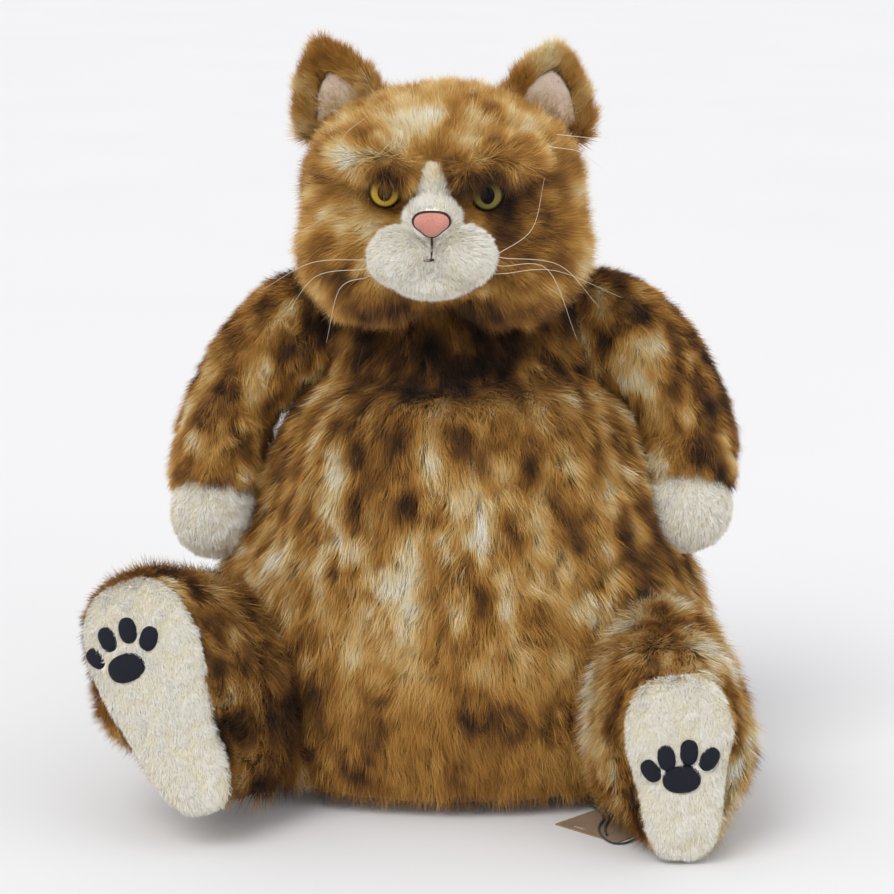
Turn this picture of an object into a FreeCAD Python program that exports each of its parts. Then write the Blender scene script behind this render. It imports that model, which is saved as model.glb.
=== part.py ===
"""Seated plush cat, about 0.4 m tall, as its separate soft and hard pieces.

Frame: +Z up, the cat faces -Y, its own left side is +X. The origin is the centre of the flat seat.
Fur fabric is drawn at the thickness it keeps with its pile pressed flat. Stuffing, a pellet bag,
plastic eyes, nylon whiskers and a paper tag on its loop of cord are pieces of their own.
"""

import FreeCAD
import Part
import math
import os
import re

from FreeCAD import Placement, Rotation, Vector

doc = FreeCAD.newDocument("plush_cat")
sheet = doc.addObject("Spreadsheet::Sheet", "sizes")
NAMES = []
SIDES = {"left": 1, "right": -1}


# ---------------------------------------------------------------- driving dimensions, millimetres
def put(group, **values):
    """Writes named values to the sheet, each with its group's name beside it."""
    for name, value in values.items():
        NAMES.append(name)
        row = len(NAMES)
        sheet.set(f"A{row}", name)
        sheet.set(f"B{row}", str(value))
        sheet.set(f"C{row}", group)
        sheet.setAlias(f"B{row}", name)


put("fabric", fur_thick=8, seat_thick=4, velour_thick=1.6, short_pile=3.5, gap=1.2, sew_gap=0.2)

# Torso rings, from the seat up: height, half width, foremost and rearmost reach.
TORSO_RINGS = {
    "seat": (0, 106, -92, 88),
    "rump": (24, 134, -112, 104),
    "hip": (64, 143, -119, 108),
    "belly": (108, 128, -117, 103),
    "waist": (150, 104, -106, 95),
    "rib": (190, 90, -89, 85),
    "chest": (224, 80, -62, 75),
    "neck": (262, 57, -34, 50),
}
# Head rings, from the flat underside that sits on the neck to the crown.
HEAD_RINGS = {
    "throat": (262.4, 46, -74, 8),
    "jaw": (272, 63, -86, 20),
    "cheek": (290, 74, -92, 28),
    "eyeline": (312, 75, -95, 31),
    "brow": (334, 68, -93, 29),
    "crown": (354, 49, -78, 16),
    "poll": (367, 24, -56, -8),
}
for group, form in (("torso", TORSO_RINGS), ("head", HEAD_RINGS)):
    for ring_name, (height, half, front, back) in form.items():
        put(group, **{f"{ring_name}_height": height, f"{ring_name}_half": half})
        put(group, **{f"{ring_name}_front": front, f"{ring_name}_back": back})
put("torso", side_seam=14, pellet_half=74, pellet_deep=60, pellet_high=26, pellet_lift=12, pellet_back=8)

put("head", head_side=-5, head_seam=-8)

put("muzzle", muzzle_side=-11, muzzle_depth=-93, muzzle_mid=291, lobe_apart=16)
put("muzzle", lobe_half=20, lobe_deep=24, lobe_tall=17, chin_drop=10, chin_half=22)
put("muzzle", chin_tall=11, chin_deep=21, bridge_rise=18, bridge_half=11, bridge_deep=22, bridge_tall=22)
put("nose", nose_half=9.5, nose_tall=6.5, nose_deep=5, nose_rise=19.5, nose_front=-116)
put("mouth", stitch_thick=1.1, stitch_drop=13, smile_radius=9, smile_turn=50)

put("eye", eye_wide=18, eye_dome=6, eye_rim=1.6, eye_plate=2, stem_wide=5, stem_long=15)
put("eye", washer_wide=15, washer_thick=1.5, washer_slack=0.03, washer_seat=3, eye_swing=14)
put("eye", left_eye_x=16, right_eye_x=-35.5, eye_front=-88, left_eye_z=323, right_eye_z=324.5)

put("ear", ear_base=50, ear_high=42, ear_bow=62, ear_fur=6, lining_inset=6, ear_lean=12)
put("ear left", left_ear_x=44, left_ear_y=-16, left_ear_z=348, left_ear_roll=8, left_ear_yaw=20)
put("ear right", right_ear_x=-56, right_ear_y=-16, right_ear_z=352, right_ear_roll=-17, right_ear_yaw=-24)

# Arm stations: shoulder ball, upper arm, elbow, wrist and paw, given for the cat's left side.
put("arm", shoulder_ball=29, upper_thick=27.5, elbow_thick=26.5, wrist_thick=22, paw_half=23, paw_tall=32)
put("arm left", left_shoulder_x=84, left_shoulder_y=6, left_shoulder_z=247)
put("arm left", left_elbow_x=126, left_elbow_y=0, left_elbow_z=205)
put("arm left", left_wrist_x=128, left_wrist_y=-15, left_wrist_z=168, left_paw_drop=20)
put("arm right", right_shoulder_x=-88, right_shoulder_y=6, right_shoulder_z=246)
put("arm right", right_elbow_x=-126, right_elbow_y=2, right_elbow_z=200)
put("arm right", right_wrist_x=-130, right_wrist_y=-10, right_wrist_z=162, right_paw_drop=18)

put("leg", leg_behind=38, leg_lift=1.5, toe_pad_thick=0.9)
put("leg left", left_hip_x=103, left_hip_y=-28, left_hip_z=52)
put("leg left", left_sole_x=113.5, left_sole_y=-180, left_sole_z=49, left_sole_lean=2)
put("leg left", left_sole_roll=-3, left_sole_yaw=0, left_print_up=-6)
put("leg left", left_sole_long=100, left_sole_toe=29, left_sole_heel=25)
put("leg left", left_leg_centre=85, left_leg_half=35, left_leg_tall=58, left_splay=24)
put("leg right", right_hip_x=-99, right_hip_y=-36, right_hip_z=54)
put("leg right", right_sole_x=-147, right_sole_y=-150, right_sole_z=69, right_sole_lean=12)
put("leg right", right_sole_roll=-18, right_sole_yaw=-8, right_print_up=16)
put("leg right", right_sole_long=134, right_sole_toe=33, right_sole_heel=25)
put("leg right", right_leg_centre=70, right_leg_half=39, right_leg_tall=72, right_splay=15)

put("tail", tail_thick=17, tail_root_x=10, tail_root_y=106, tail_lift=22, tail_curl=42, tail_tip=48)

put("tag", tag_wide=42, tag_long=62, tag_thick=0.6, tag_lift=0.1, tag_x=88, tag_y=-110.8, tag_turn=-44)
put("tag", slot_across=-8.7, slot_up=-27.5, slot_long=8, slot_wide=2, cord_thick=1)
put("whisker", whisker_thick=0.6)


def prefixed(formula):
    """A formula with each named value pointed at the sheet."""
    return re.sub(
        r"[a-z_][a-z_0-9]*", lambda word: f"sizes.{word[0]}" if word[0] in NAMES else word[0], formula
    )


def bind(thing, **formulas):
    for prop, formula in formulas.items():
        thing.setExpression(prop, prefixed(str(formula)))
    return thing


def place(thing, x, y, z, turn=None):
    """Binds a thing's position to named values, with an optional fixed turn."""
    if turn is not None:
        thing.Placement = Placement(Vector(), turn)
    for axis, formula in zip("xyz", (x, y, z)):
        thing.setExpression(f".Placement.Base.{axis}", prefixed(str(formula)))
    return thing


def size(name):
    return float(sheet.get(name))


def point(*names):
    return Vector(*[size(name) for name in names])


# ---------------------------------------------------------------- shape helpers
def ellipsoid(name, half_x, half_y, half_z, x, y, z, turn=None):
    shape = doc.addObject("Part::Ellipsoid", name)
    return place(bind(shape, Radius1=half_z, Radius2=half_x, Radius3=half_y), x, y, z, turn)


def ball(name, radius, x, y, z, turn=None):
    return place(bind(doc.addObject("Part::Sphere", name), Radius=radius), x, y, z, turn)


def cylinder(name, radius, height, x, y, z, turn=None):
    return place(bind(doc.addObject("Part::Cylinder", name), Radius=radius, Height=height), x, y, z, turn)


def box(name, long, wide, high, x, y, z):
    shape = bind(doc.addObject("Part::Box", name), Length=long, Width=wide, Height=high)
    return place(shape, x, y, z)


def ring(name, half_long, half_short, x, y, z, turn=None):
    """An ellipse, long along its own X, lying in its own XY plane."""
    shape = bind(doc.addObject("Part::Ellipse", name), MajorRadius=half_long, MinorRadius=half_short)
    return place(shape, x, y, z, turn)


def loft(name, rings, ruled=False):
    shape = doc.addObject("Part::Loft", name)
    shape.Sections = rings
    shape.Solid = True
    shape.Ruled = ruled
    return shape


def cut(name, base, tool):
    shape = doc.addObject("Part::Cut", name)
    shape.Base = base
    shape.Tool = tool
    return shape


def cut_each(name, base, tools):
    """One cut after another, each with a tool of its own."""
    for index, tool in enumerate(tools):
        base = cut(f"{name}_{index}", base, tool)
    return base


def common(name, first, second):
    shape = doc.addObject("Part::MultiCommon", name)
    shape.Shapes = [first, second]
    return shape


def fuse(name, shapes):
    shape = doc.addObject("Part::MultiFuse", name)
    shape.Shapes = shapes
    return shape


def compound(name, shapes):
    shape = doc.addObject("Part::Compound", name)
    shape.Links = shapes
    return shape


def solid_feature(name, shape):
    """A finished shape made by Part's own functions, where no ready feature fits."""
    made = doc.addObject("Part::Feature", name)
    made.Shape = shape
    return made


def facing(direction, up=Vector(0, 0, 1)):
    """The turn that points local Z along direction and local X as near to sideways as it can."""
    z = Vector(direction).normalize()
    x = up.cross(z)
    x = x.normalize() if x.Length > 1e-6 else Vector(1, 0, 0)
    return Rotation(x, z.cross(x), z, "ZXY")


NODES = {}


def node(name, thing):
    """Names a finished sub-part, which gets a file of its own."""
    thing.Label = name
    NODES[name] = thing
    return thing


# ---------------------------------------------------------------- limbs, as a cover and its stuffing
def arm_form(side, tag, less):
    """Shoulder ball, sleeve and paw as one closed form, its radii smaller by the formula less."""
    shoulder, elbow, wrist = (f"{side}_{joint}" for joint in ("shoulder", "elbow", "wrist"))
    start = point(f"{shoulder}_x", f"{shoulder}_y", f"{shoulder}_z")
    middle = point(f"{elbow}_x", f"{elbow}_y", f"{elbow}_z")
    end = point(f"{wrist}_x", f"{wrist}_y", f"{wrist}_z")
    turns = [facing(middle - start), facing(end - start), facing(end - middle)]
    stations = [(shoulder, "upper_thick"), (elbow, "elbow_thick"), (wrist, "wrist_thick")]
    rings = [
        ring(
            f"{side}_arm_ring_{tag}_{station}",
            f"{thick} - ({less})",
            f"{thick} - ({less})",
            f"{station}_x",
            f"{station}_y",
            f"{station}_z",
            turn,
        )
        for (station, thick), turn in zip(stations, turns)
    ]
    sleeve = loft(f"{side}_sleeve_{tag}", rings)
    shoulder_end = ball(
        f"{side}_shoulder_{tag}",
        f"shoulder_ball - ({less})",
        f"{shoulder}_x",
        f"{shoulder}_y",
        f"{shoulder}_z",
    )
    paw = ellipsoid(
        f"{side}_paw_{tag}",
        f"paw_half - ({less})",
        f"paw_half - ({less})",
        f"paw_tall - ({less})",
        f"{wrist}_x",
        f"{wrist}_y - 8",
        f"{wrist}_z - {side}_paw_drop",
    )
    return fuse(f"{side}_arm_form_{tag}", [sleeve, shoulder_end, paw])


def sole_turn(side):
    """Local Z is out of the sole, local Y is from the heel to the toes."""
    lean, roll, yaw = (size(f"{side}_sole_{word}") for word in ("lean", "roll", "yaw"))
    upright = Rotation(Vector(1, 0, 0), 90)
    return (
        Rotation(Vector(0, 0, 1), yaw)
        * Rotation(Vector(1, 0, 0), -lean)
        * Rotation(Vector(0, 1, 0), roll)
        * upright
    )


def leg_form(side, tag, less, splay=0):
    """A long rounded leg, cut off flat behind its sole and just clear of the floor.

    With a splay, in degrees, it is the leg's whole oval swung outwards about its upright hip axis.
    """
    hip = point(f"{side}_hip_x", f"{side}_hip_y", f"{side}_hip_z")
    face = point(f"{side}_sole_x", f"{side}_sole_y", f"{side}_sole_z")
    toes = sole_turn(side).multVec(Vector(0, 1, 0))
    reach = f"{side}_leg_centre"
    along = (face - hip).normalize()
    swing = Placement(Vector(), Rotation(Vector(0, 0, 1), SIDES[side] * splay), hip)
    centre = swing.multVec(hip + along * size(reach))
    oval = ellipsoid(
        f"{side}_leg_oval_{tag}", f"{side}_leg_half - ({less})", f"{side}_leg_tall - ({less})",
        f"{reach} + leg_behind - ({less})", centre.x, centre.y, centre.z,
        swing.Rotation * facing(along, toes),
    )
    if tag.startswith("room"):
        return oval
    pile = size("sew_gap") + size("short_pile")
    inset = {"outer": pile, "inner": pile + size("sew_gap"), "bed": -pile}[tag]
    behind = box(f"{side}_leg_behind_{tag}", 600, 600, 600, 0, 0, 0)
    turn = sole_turn(side)
    corner = face + turn.multVec(Vector(-300, -300, -600 - inset))
    place(behind, corner.x, corner.y, corner.z, turn)
    footed = common(f"{side}_leg_footed_{tag}", oval, behind)
    above = box(f"{side}_leg_floor_{tag}", 500, 600, 300, -250, -400, f"leg_lift + ({less})")
    return common(f"{side}_leg_form_{tag}", footed, above)


def arms():
    for side, hand in SIDES.items():
        outer = arm_form(side, "outer", "0")
        inner = arm_form(side, "inner", "fur_thick")
        bed = arm_form(side, "bed", "fur_thick - sew_gap")
        cover = cut(f"{side}_arm_cover", outer, bed)
        wrist_cut = f"{side}_wrist_z - 2"
        below = box(f"{side}_wrist_below", 120, 120, 120, f"{side}_wrist_x - 60", f"{side}_wrist_y - 60", f"{wrist_cut} - 120")
        above = box(f"{side}_wrist_above", 240, 200, 200, f"{side}_wrist_x - 120", f"{side}_wrist_y - 100", f"{wrist_cut} + sew_gap")
        node(f"{side}_arm_sleeve", common(f"{side}_sleeve_part", cover, above))
        node(f"{side}_paw_cover", common(f"{side}_paw_part", cover, below))
        node(f"{side}_arm_stuffing", inner)


def sole_body(side):
    """The sewn sole: toe and heel arcs with straight tangents between them, padded to its pile."""
    body = doc.addObject("PartDesign::Body", f"{side}_sole_body")
    sketch = body.newObject("Sketcher::SketchObject", f"{side}_sole_outline")
    flat = next(f for f in body.Origin.OriginFeatures if f.Role == "XY_Plane")
    sketch.AttachmentSupport = [(flat, "")]
    sketch.MapMode = "FlatFace"
    toe, heel, long = (size(f"{side}_sole_{word}") for word in ("toe", "heel", "long"))
    toe_y, heel_y = long / 2 - toe, heel - long / 2
    slope = math.asin((toe - heel) / (toe_y - heel_y))
    ends = {}
    for hand in (1, -1):
        across, up = hand * math.cos(slope), -math.sin(slope)
        ends[hand] = (
            Vector(toe * across, toe_y + toe * up, 0),
            Vector(heel * across, heel_y + heel * up, 0),
        )
    toe_arc = Part.ArcOfCircle(Part.Circle(Vector(0, toe_y, 0), Vector(0, 0, 1), toe), -slope, math.pi + slope)
    heel_arc = Part.ArcOfCircle(
        Part.Circle(Vector(0, heel_y, 0), Vector(0, 0, 1), heel), math.pi + slope, 2 * math.pi - slope
    )
    for piece in (toe_arc, Part.LineSegment(*ends[-1]), heel_arc, Part.LineSegment(*reversed(ends[1]))):
        sketch.addGeometry(piece, False)
    import Sketcher

    joins = [(0, 2, 1, 1), (1, 2, 2, 1), (2, 2, 3, 1), (3, 2, 0, 1)]
    for join in joins:
        sketch.addConstraint(Sketcher.Constraint("Tangent", *join))
    sketch.addConstraint(Sketcher.Constraint("PointOnObject", 0, 3, -2))
    sketch.addConstraint(Sketcher.Constraint("PointOnObject", 2, 3, -2))
    for name, constraint, formula in (
        ("toe", Sketcher.Constraint("Radius", 0, toe), f"{side}_sole_toe"),
        ("heel", Sketcher.Constraint("Radius", 2, heel), f"{side}_sole_heel"),
        (
            "toe_place",
            Sketcher.Constraint("DistanceY", -1, 1, 0, 3, toe_y),
            f"{side}_sole_long / 2 - {side}_sole_toe",
        ),
        (
            "heel_place",
            Sketcher.Constraint("DistanceY", 2, 3, -1, 1, -heel_y),
            f"{side}_sole_long / 2 - {side}_sole_heel",
        ),
    ):
        index = sketch.addConstraint(constraint)
        sketch.renameConstraint(index, name)
        sketch.setExpression(f"Constraints.{name}", prefixed(formula))
    pad = body.newObject("PartDesign::Pad", f"{side}_sole_pad")
    pad.Profile = sketch
    pad.Reversed = True
    bind(pad, Length="short_pile")
    face = point(f"{side}_sole_x", f"{side}_sole_y", f"{side}_sole_z")
    body.Placement = Placement(face, sole_turn(side))
    return body


# Embroidered print on a sole: across, up from the main pad, half width, half height and turn in degrees.
PRINT = {
    "palm": (0, 0, 9, 6.5, 0),
    "outer_toe": (-14.5, 8, 4.4, 6, 32),
    "long_toe": (-6.2, 16, 4.6, 6.4, 8),
    "middle_toe": (5, 18, 4.6, 6.4, -6),
    "inner_toe": (14.5, 11.5, 4.6, 6.2, -34),
}


def toe_pads(side):
    face = point(f"{side}_sole_x", f"{side}_sole_y", f"{side}_sole_z")
    turn = sole_turn(side)
    pads = []
    for name, (across, up, half_wide, half_high, angle) in PRINT.items():
        rise = size(f"{side}_print_up")
        centre = face + turn.multVec(Vector(across, up + rise, size("sew_gap") / 10))
        lie = turn * Rotation(Vector(0, 0, 1), angle)
        if half_high > half_wide:
            lie = lie * Rotation(Vector(0, 0, 1), 90)
        outline = ring(
            f"{side}_{name}_outline", str(max(half_wide, half_high)), str(min(half_wide, half_high)),
            centre.x, centre.y, centre.z, lie,
        )
        pad = doc.addObject("Part::Extrusion", f"{side}_{name}")
        pad.Base = outline
        pad.DirMode = "Custom"
        pad.Dir = turn.multVec(Vector(0, 0, 1))
        pad.Solid = True
        bind(pad, LengthFwd="toe_pad_thick")
        pads.append(pad)
    return compound(f"{side}_toe_pad_set", pads)


def legs():
    for side in SIDES:
        outer = leg_form(side, "outer", "0")
        inner = leg_form(side, "inner", "fur_thick")
        bed = leg_form(side, "bed", "fur_thick - sew_gap")
        node(f"{side}_leg_cover", cut(f"{side}_leg_cover_part", outer, bed))
        node(f"{side}_leg_stuffing", inner)
        node(f"{side}_sole", sole_body(side))
        node(f"{side}_toe_pads", toe_pads(side))


# ---------------------------------------------------------------- torso
def ring_form(name, form, less, across, low, high):
    """A closed form through level oval rings, its first and last rings at the heights low and high."""
    ends = {list(form)[0]: low, list(form)[-1]: high}
    rings = [
        ring(
            f"{name}_{station}",
            f"{station}_half - ({less})",
            f"({station}_back - {station}_front) / 2 - ({less})",
            across,
            f"({station}_back + {station}_front) / 2",
            ends.get(station, f"{station}_height"),
        )
        for station in form
    ]
    return loft(name, rings)


def torso_form(tag, less, floor):
    return ring_form(f"torso_form_{tag}", TORSO_RINGS, less, "0", floor, f"neck_height - ({less})")


def limb_room():
    """The room that the limbs and the tail need inside the torso's outline, through their whole travel."""
    room = []
    for side in SIDES:
        room.append(arm_form(side, "room", "-gap"))
        for share in (0, 0.5, 1):
            splay = size(f"{side}_splay") * share
            room.append(leg_form(side, f"room_{round(splay)}", "-gap", splay))
    room.append(tail_form("room", "-gap"))
    return room


def torso():
    outer = torso_form("outer", "0", "0")
    inner = torso_form("inner", "fur_thick", "seat_thick + sew_gap")
    bed = torso_form("bed", "fur_thick - sew_gap", "seat_thick")
    room = limb_room()
    hollow = cut("torso_hollow", outer, bed)
    seat_box = box("seat_box", 400, 400, "seat_thick", -200, -200, 0)
    skin = cut_each("torso_skin", cut("torso_skin_above", hollow, seat_box), room)
    front = box("front_half", 400, 300, 400, -200, "side_seam - 300", 0)
    back = [
        box("back_left_half", 200, 300, 400, "sew_gap / 2", "side_seam + sew_gap", 0),
        box("back_right_half", 200, 300, 400, "-200 - sew_gap / 2", "side_seam + sew_gap", 0),
    ]
    node("belly_panel", common("belly_part", skin, front))
    node("back_left_panel", common("back_left_part", skin, back[0]))
    node("back_right_panel", common("back_right_part", skin, back[1]))
    seat_slab = common("seat_slab", outer, seat_box)
    node("seat_panel", cut_each("seat_part", seat_slab, room))
    pellets = ellipsoid(
        "pellets_whole", "pellet_half", "pellet_deep", "pellet_high", 0, "pellet_back", "pellet_high + pellet_lift"
    )
    pellet_room = ellipsoid(
        "pellet_room",
        "pellet_half + sew_gap",
        "pellet_deep + sew_gap",
        "pellet_high + sew_gap",
        0,
        "pellet_back",
        "pellet_high + pellet_lift",
    )
    node("pellet_bag", pellets)
    filling = cut_each("torso_filling", inner, [*room, pellet_room])
    node("torso_stuffing", filling)


# ---------------------------------------------------------------- head
def head_form(tag, less):
    low, high = f"throat_height + ({less})", f"poll_height - ({less})"
    return ring_form(f"head_form_{tag}", HEAD_RINGS, less, "head_side", low, high)


def muzzle_form(tag, less):
    lobes = [
        ellipsoid(
            f"{side}_cheek_{tag}", f"lobe_half - ({less})", f"lobe_deep - ({less})", f"lobe_tall - ({less})",
            f"muzzle_side + {hand} * lobe_apart", "muzzle_depth", "muzzle_mid",
        )
        for side, hand in SIDES.items()
    ]
    chin = ellipsoid(
        f"chin_{tag}", f"chin_half - ({less})", f"chin_deep - ({less})", f"chin_tall - ({less})",
        "muzzle_side", "muzzle_depth", "muzzle_mid - chin_drop",
    )
    bridge = ellipsoid(
        f"bridge_{tag}", f"bridge_half - ({less})", f"bridge_deep - ({less})", f"bridge_tall - ({less})",
        "muzzle_side", "muzzle_depth", "muzzle_mid + bridge_rise",
    )
    return fuse(f"muzzle_form_{tag}", [*lobes, chin, bridge])


def eye_turn(side):
    """Local Z is out of the eye, which looks forward and a little outward."""
    return Rotation(Vector(0, 0, 1), SIDES[side] * size("eye_swing")) * Rotation(Vector(1, 0, 0), 90)


def revolved(body_name, outline, placement):
    """A turned piece: a closed outline of straight and round pieces in the body's XZ plane, about its Z."""
    body = doc.addObject("PartDesign::Body", body_name)
    sketch = body.newObject("Sketcher::SketchObject", f"{body_name}_outline")
    flat = next(f for f in body.Origin.OriginFeatures if f.Role == "XZ_Plane")
    sketch.AttachmentSupport = [(flat, "")]
    sketch.MapMode = "FlatFace"
    outline(sketch)
    turned = body.newObject("PartDesign::Revolution", f"{body_name}_turned")
    turned.Profile = sketch
    turned.ReferenceAxis = (sketch, ["V_Axis"])
    turned.Angle = 360
    body.Placement = placement
    return body


def dimension(sketch, name, constraint, formula):
    index = sketch.addConstraint(constraint)
    sketch.renameConstraint(index, name)
    sketch.setExpression(f"Constraints.{name}", prefixed(formula))


def dome_outline(sketch):
    """Half of a plano-convex lens: its axis, its crown arc and its flat back."""
    import Sketcher

    half, rise = size("eye_wide") / 2 - size("eye_rim"), size("eye_dome")
    radius = (half**2 + rise**2) / (2 * rise)
    centre = Vector(0, rise - radius, 0)
    swing = math.asin(half / radius)
    sketch.addGeometry(Part.LineSegment(Vector(0, 0, 0), Vector(half, 0, 0)), False)
    crown = Part.ArcOfCircle(Part.Circle(centre, Vector(0, 0, 1), radius), math.pi / 2 - swing, math.pi / 2)
    sketch.addGeometry(crown, False)
    sketch.addGeometry(Part.LineSegment(Vector(0, rise, 0), Vector(0, 0, 0)), False)
    for join in ((0, 2, 1, 1), (1, 2, 2, 1), (2, 2, 0, 1)):
        sketch.addConstraint(Sketcher.Constraint("Coincident", *join))
    sketch.addConstraint(Sketcher.Constraint("Coincident", 0, 1, -1, 1))
    sketch.addConstraint(Sketcher.Constraint("Horizontal", 0))
    sketch.addConstraint(Sketcher.Constraint("Vertical", 2))
    sketch.addConstraint(Sketcher.Constraint("PointOnObject", 1, 3, -2))
    dimension(sketch, "half", Sketcher.Constraint("DistanceX", 0, 1, 0, 2, half), "eye_wide / 2 - eye_rim")
    dimension(sketch, "rise", Sketcher.Constraint("DistanceY", 2, 2, 2, 1, rise), "eye_dome")


def seat_outline(sketch):
    """Half of the eye's plate with its stem, stepped: closed by a chain of straight edges."""
    import Sketcher

    rim, plate = size("eye_wide") / 2, size("eye_plate")
    stem, long = size("stem_wide") / 2, size("stem_long")
    corners = [
        Vector(0, 0, 0),
        Vector(rim, 0, 0),
        Vector(rim, -plate, 0),
        Vector(stem, -plate, 0),
        Vector(stem, -plate - long, 0),
        Vector(0, -plate - long, 0),
    ]
    count = len(corners)
    for i in range(count):
        sketch.addGeometry(Part.LineSegment(corners[i], corners[(i + 1) % count]), False)
    for i in range(count):
        sketch.addConstraint(Sketcher.Constraint("Coincident", i, 2, (i + 1) % count, 1))
        sketch.addConstraint(Sketcher.Constraint("Horizontal" if i % 2 == 0 else "Vertical", i))
    sketch.addConstraint(Sketcher.Constraint("Coincident", 0, 1, -1, 1))
    dimension(sketch, "rim", Sketcher.Constraint("DistanceX", 0, 1, 0, 2, rim), "eye_wide / 2")
    dimension(sketch, "plate", Sketcher.Constraint("DistanceY", 1, 2, 1, 1, plate), "eye_plate")
    dimension(sketch, "stem", Sketcher.Constraint("DistanceX", 4, 2, 4, 1, stem), "stem_wide / 2")
    dimension(sketch, "long", Sketcher.Constraint("DistanceY", 3, 2, 3, 1, long), "stem_long")


def eyes():
    """Each eye is a clear dome on a plate, whose stem a washer grips inside the face. Returns their room."""
    room = []
    for side in SIDES:
        turn = eye_turn(side)
        out = turn.multVec(Vector(0, 0, 1))
        face = Vector(size(f"{side}_eye_x"), size("eye_front"), size(f"{side}_eye_z"))
        dome = revolved(f"{side}_dome_body", dome_outline, Placement(face + out * size("sew_gap") / 10, turn))
        node(f"{side}_eye_dome", dome)
        node(f"{side}_eye_seat", revolved(f"{side}_seat_body", seat_outline, Placement(face, turn)))
        grip = face - out * (size("eye_plate") + size("fur_thick") + size("washer_seat"))
        disc = cylinder(f"{side}_washer_disc", "washer_wide / 2", "washer_thick", grip.x, grip.y, grip.z, turn)
        bore = cylinder(f"{side}_washer_bore", "stem_wide / 2 + washer_slack", "3 * washer_thick", 0, 0, 0, turn)
        low = grip - out * size("washer_thick")
        place(bore, low.x, low.y, low.z, turn)
        node(f"{side}_eye_washer", cut(f"{side}_washer_part", disc, bore))
        deep = face - out * (size("eye_plate") + size("stem_long") + 1)
        stem_room = cylinder(
            f"{side}_stem_room", "stem_wide / 2 + sew_gap", "stem_long + eye_plate + 2", deep.x, deep.y, deep.z, turn
        )
        wide = grip - out * size("sew_gap")
        washer_room = cylinder(
            f"{side}_washer_room", "washer_wide / 2 + sew_gap", "washer_thick + 2 * sew_gap", wide.x, wide.y, wide.z, turn
        )
        plate = face - out * (size("eye_plate") + size("sew_gap"))
        plate_room = cylinder(f"{side}_plate_room", "eye_wide / 2 + sew_gap", "40", plate.x, plate.y, plate.z, turn)
        room += [stem_room, washer_room, plate_room]
    return fuse("eye_room", room)


def ear_frame(side):
    turn = (
        Rotation(Vector(0, 0, 1), size(f"{side}_ear_yaw"))
        * Rotation(Vector(0, 1, 0), size(f"{side}_ear_roll"))
        * Rotation(Vector(1, 0, 0), 90 + size("ear_lean"))
    )
    return Placement(point(f"{side}_ear_x", f"{side}_ear_y", f"{side}_ear_z"), turn)


def ear_leaf(name, inset, thick, offset, frame):
    """A pointed arch, padded: a straight base and two bowed sides that meet at the tip."""
    import Sketcher

    body = doc.addObject("PartDesign::Body", f"{name}_body")
    sketch = body.newObject("Sketcher::SketchObject", f"{name}_outline")
    flat = next(f for f in body.Origin.OriginFeatures if f.Role == "XY_Plane")
    sketch.AttachmentSupport = [(flat, "")]
    sketch.MapMode = "FlatFace"
    half = size("ear_base") / 2 - inset
    high, bow = size("ear_high") - 1.6 * inset, size("ear_bow")
    foot, tip = {1: Vector(half, 0, 0), -1: Vector(-half, 0, 0)}, Vector(0, high, 0)
    sketch.addGeometry(Part.LineSegment(foot[-1], foot[1]), False)
    for hand in (1, -1):
        middle = (foot[hand] + tip) / 2
        along = tip - foot[hand]
        outward = Vector(along.y, -along.x, 0).normalize() * hand
        depth = bow - math.sqrt(bow**2 - (along.Length / 2) ** 2)
        ends = (foot[hand], middle + outward * depth, tip)
        sketch.addGeometry(Part.Arc(*(ends if hand > 0 else reversed(ends))), False)
    pad = body.newObject("PartDesign::Pad", f"{name}_pad")
    pad.Profile = sketch
    pad.Length = thick
    doc.recompute()
    body.Placement = frame * Placement(Vector(0, 0, offset), Rotation())
    return body


def ears():
    """The ears stand in the seams of the head, so what would be inside the head is cut away."""
    head_room = head_form("ear_room", "-sew_gap")
    for side in SIDES:
        frame = ear_frame(side)
        fur = size("ear_fur")
        back = ear_leaf(f"{side}_ear_back", 0, fur, -fur, frame)
        node(f"{side}_ear_back", cut(f"{side}_ear_back_part", back, head_room))
        lining = ear_leaf(
            f"{side}_ear_lining", size("lining_inset"), size("velour_thick"), size("sew_gap") / 10, frame
        )
        node(f"{side}_ear_lining", cut(f"{side}_ear_lining_part", lining, head_room))


def tube(points, thick):
    """A round thread of the given thickness along straight or round edges."""
    path = Part.Wire(points)
    start = path.Edges[0]
    first = start.valueAt(start.FirstParameter)
    heading = start.tangentAt(start.FirstParameter)
    circle = Part.Wire(Part.Circle(first, heading, thick / 2).toShape())
    return path.makePipeShell([circle], True, False)


def curved(start, through, end):
    return Part.Arc(Vector(*start), Vector(*through), Vector(*end)).toShape()


# Whiskers and brow hairs: root, a point on the way and the free end.
WHISKERS = {
    "left_whiskers": [
        ((22, -108, 296), (38, -114, 309), (44, -112, 334)),
        ((25, -106, 293), (52, -110, 290), (72, -104, 268)),
        ((24, -106, 289), (46, -112, 288), (61, -108, 252)),
        ((25, -104, 285), (50, -108, 287), (84, -100, 272)),
    ],
    "right_whiskers": [
        ((-46, -105, 292), (-72, -108, 291), (-97, -98, 276)),
        ((-47, -104, 287), (-70, -108, 284), (-86, -100, 262)),
        ((-45, -105, 283), (-58, -110, 278), (-65, -106, 250)),
    ],
    "brow_whiskers": [
        ((50, -84, 346), (63, -88, 344), (74, -82, 335)),
        ((54, -82, 352), (66, -84, 351), (78, -78, 350)),
        ((-50, -84, 342), (-56, -90, 352), (-44, -86, 362)),
    ],
}


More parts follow.
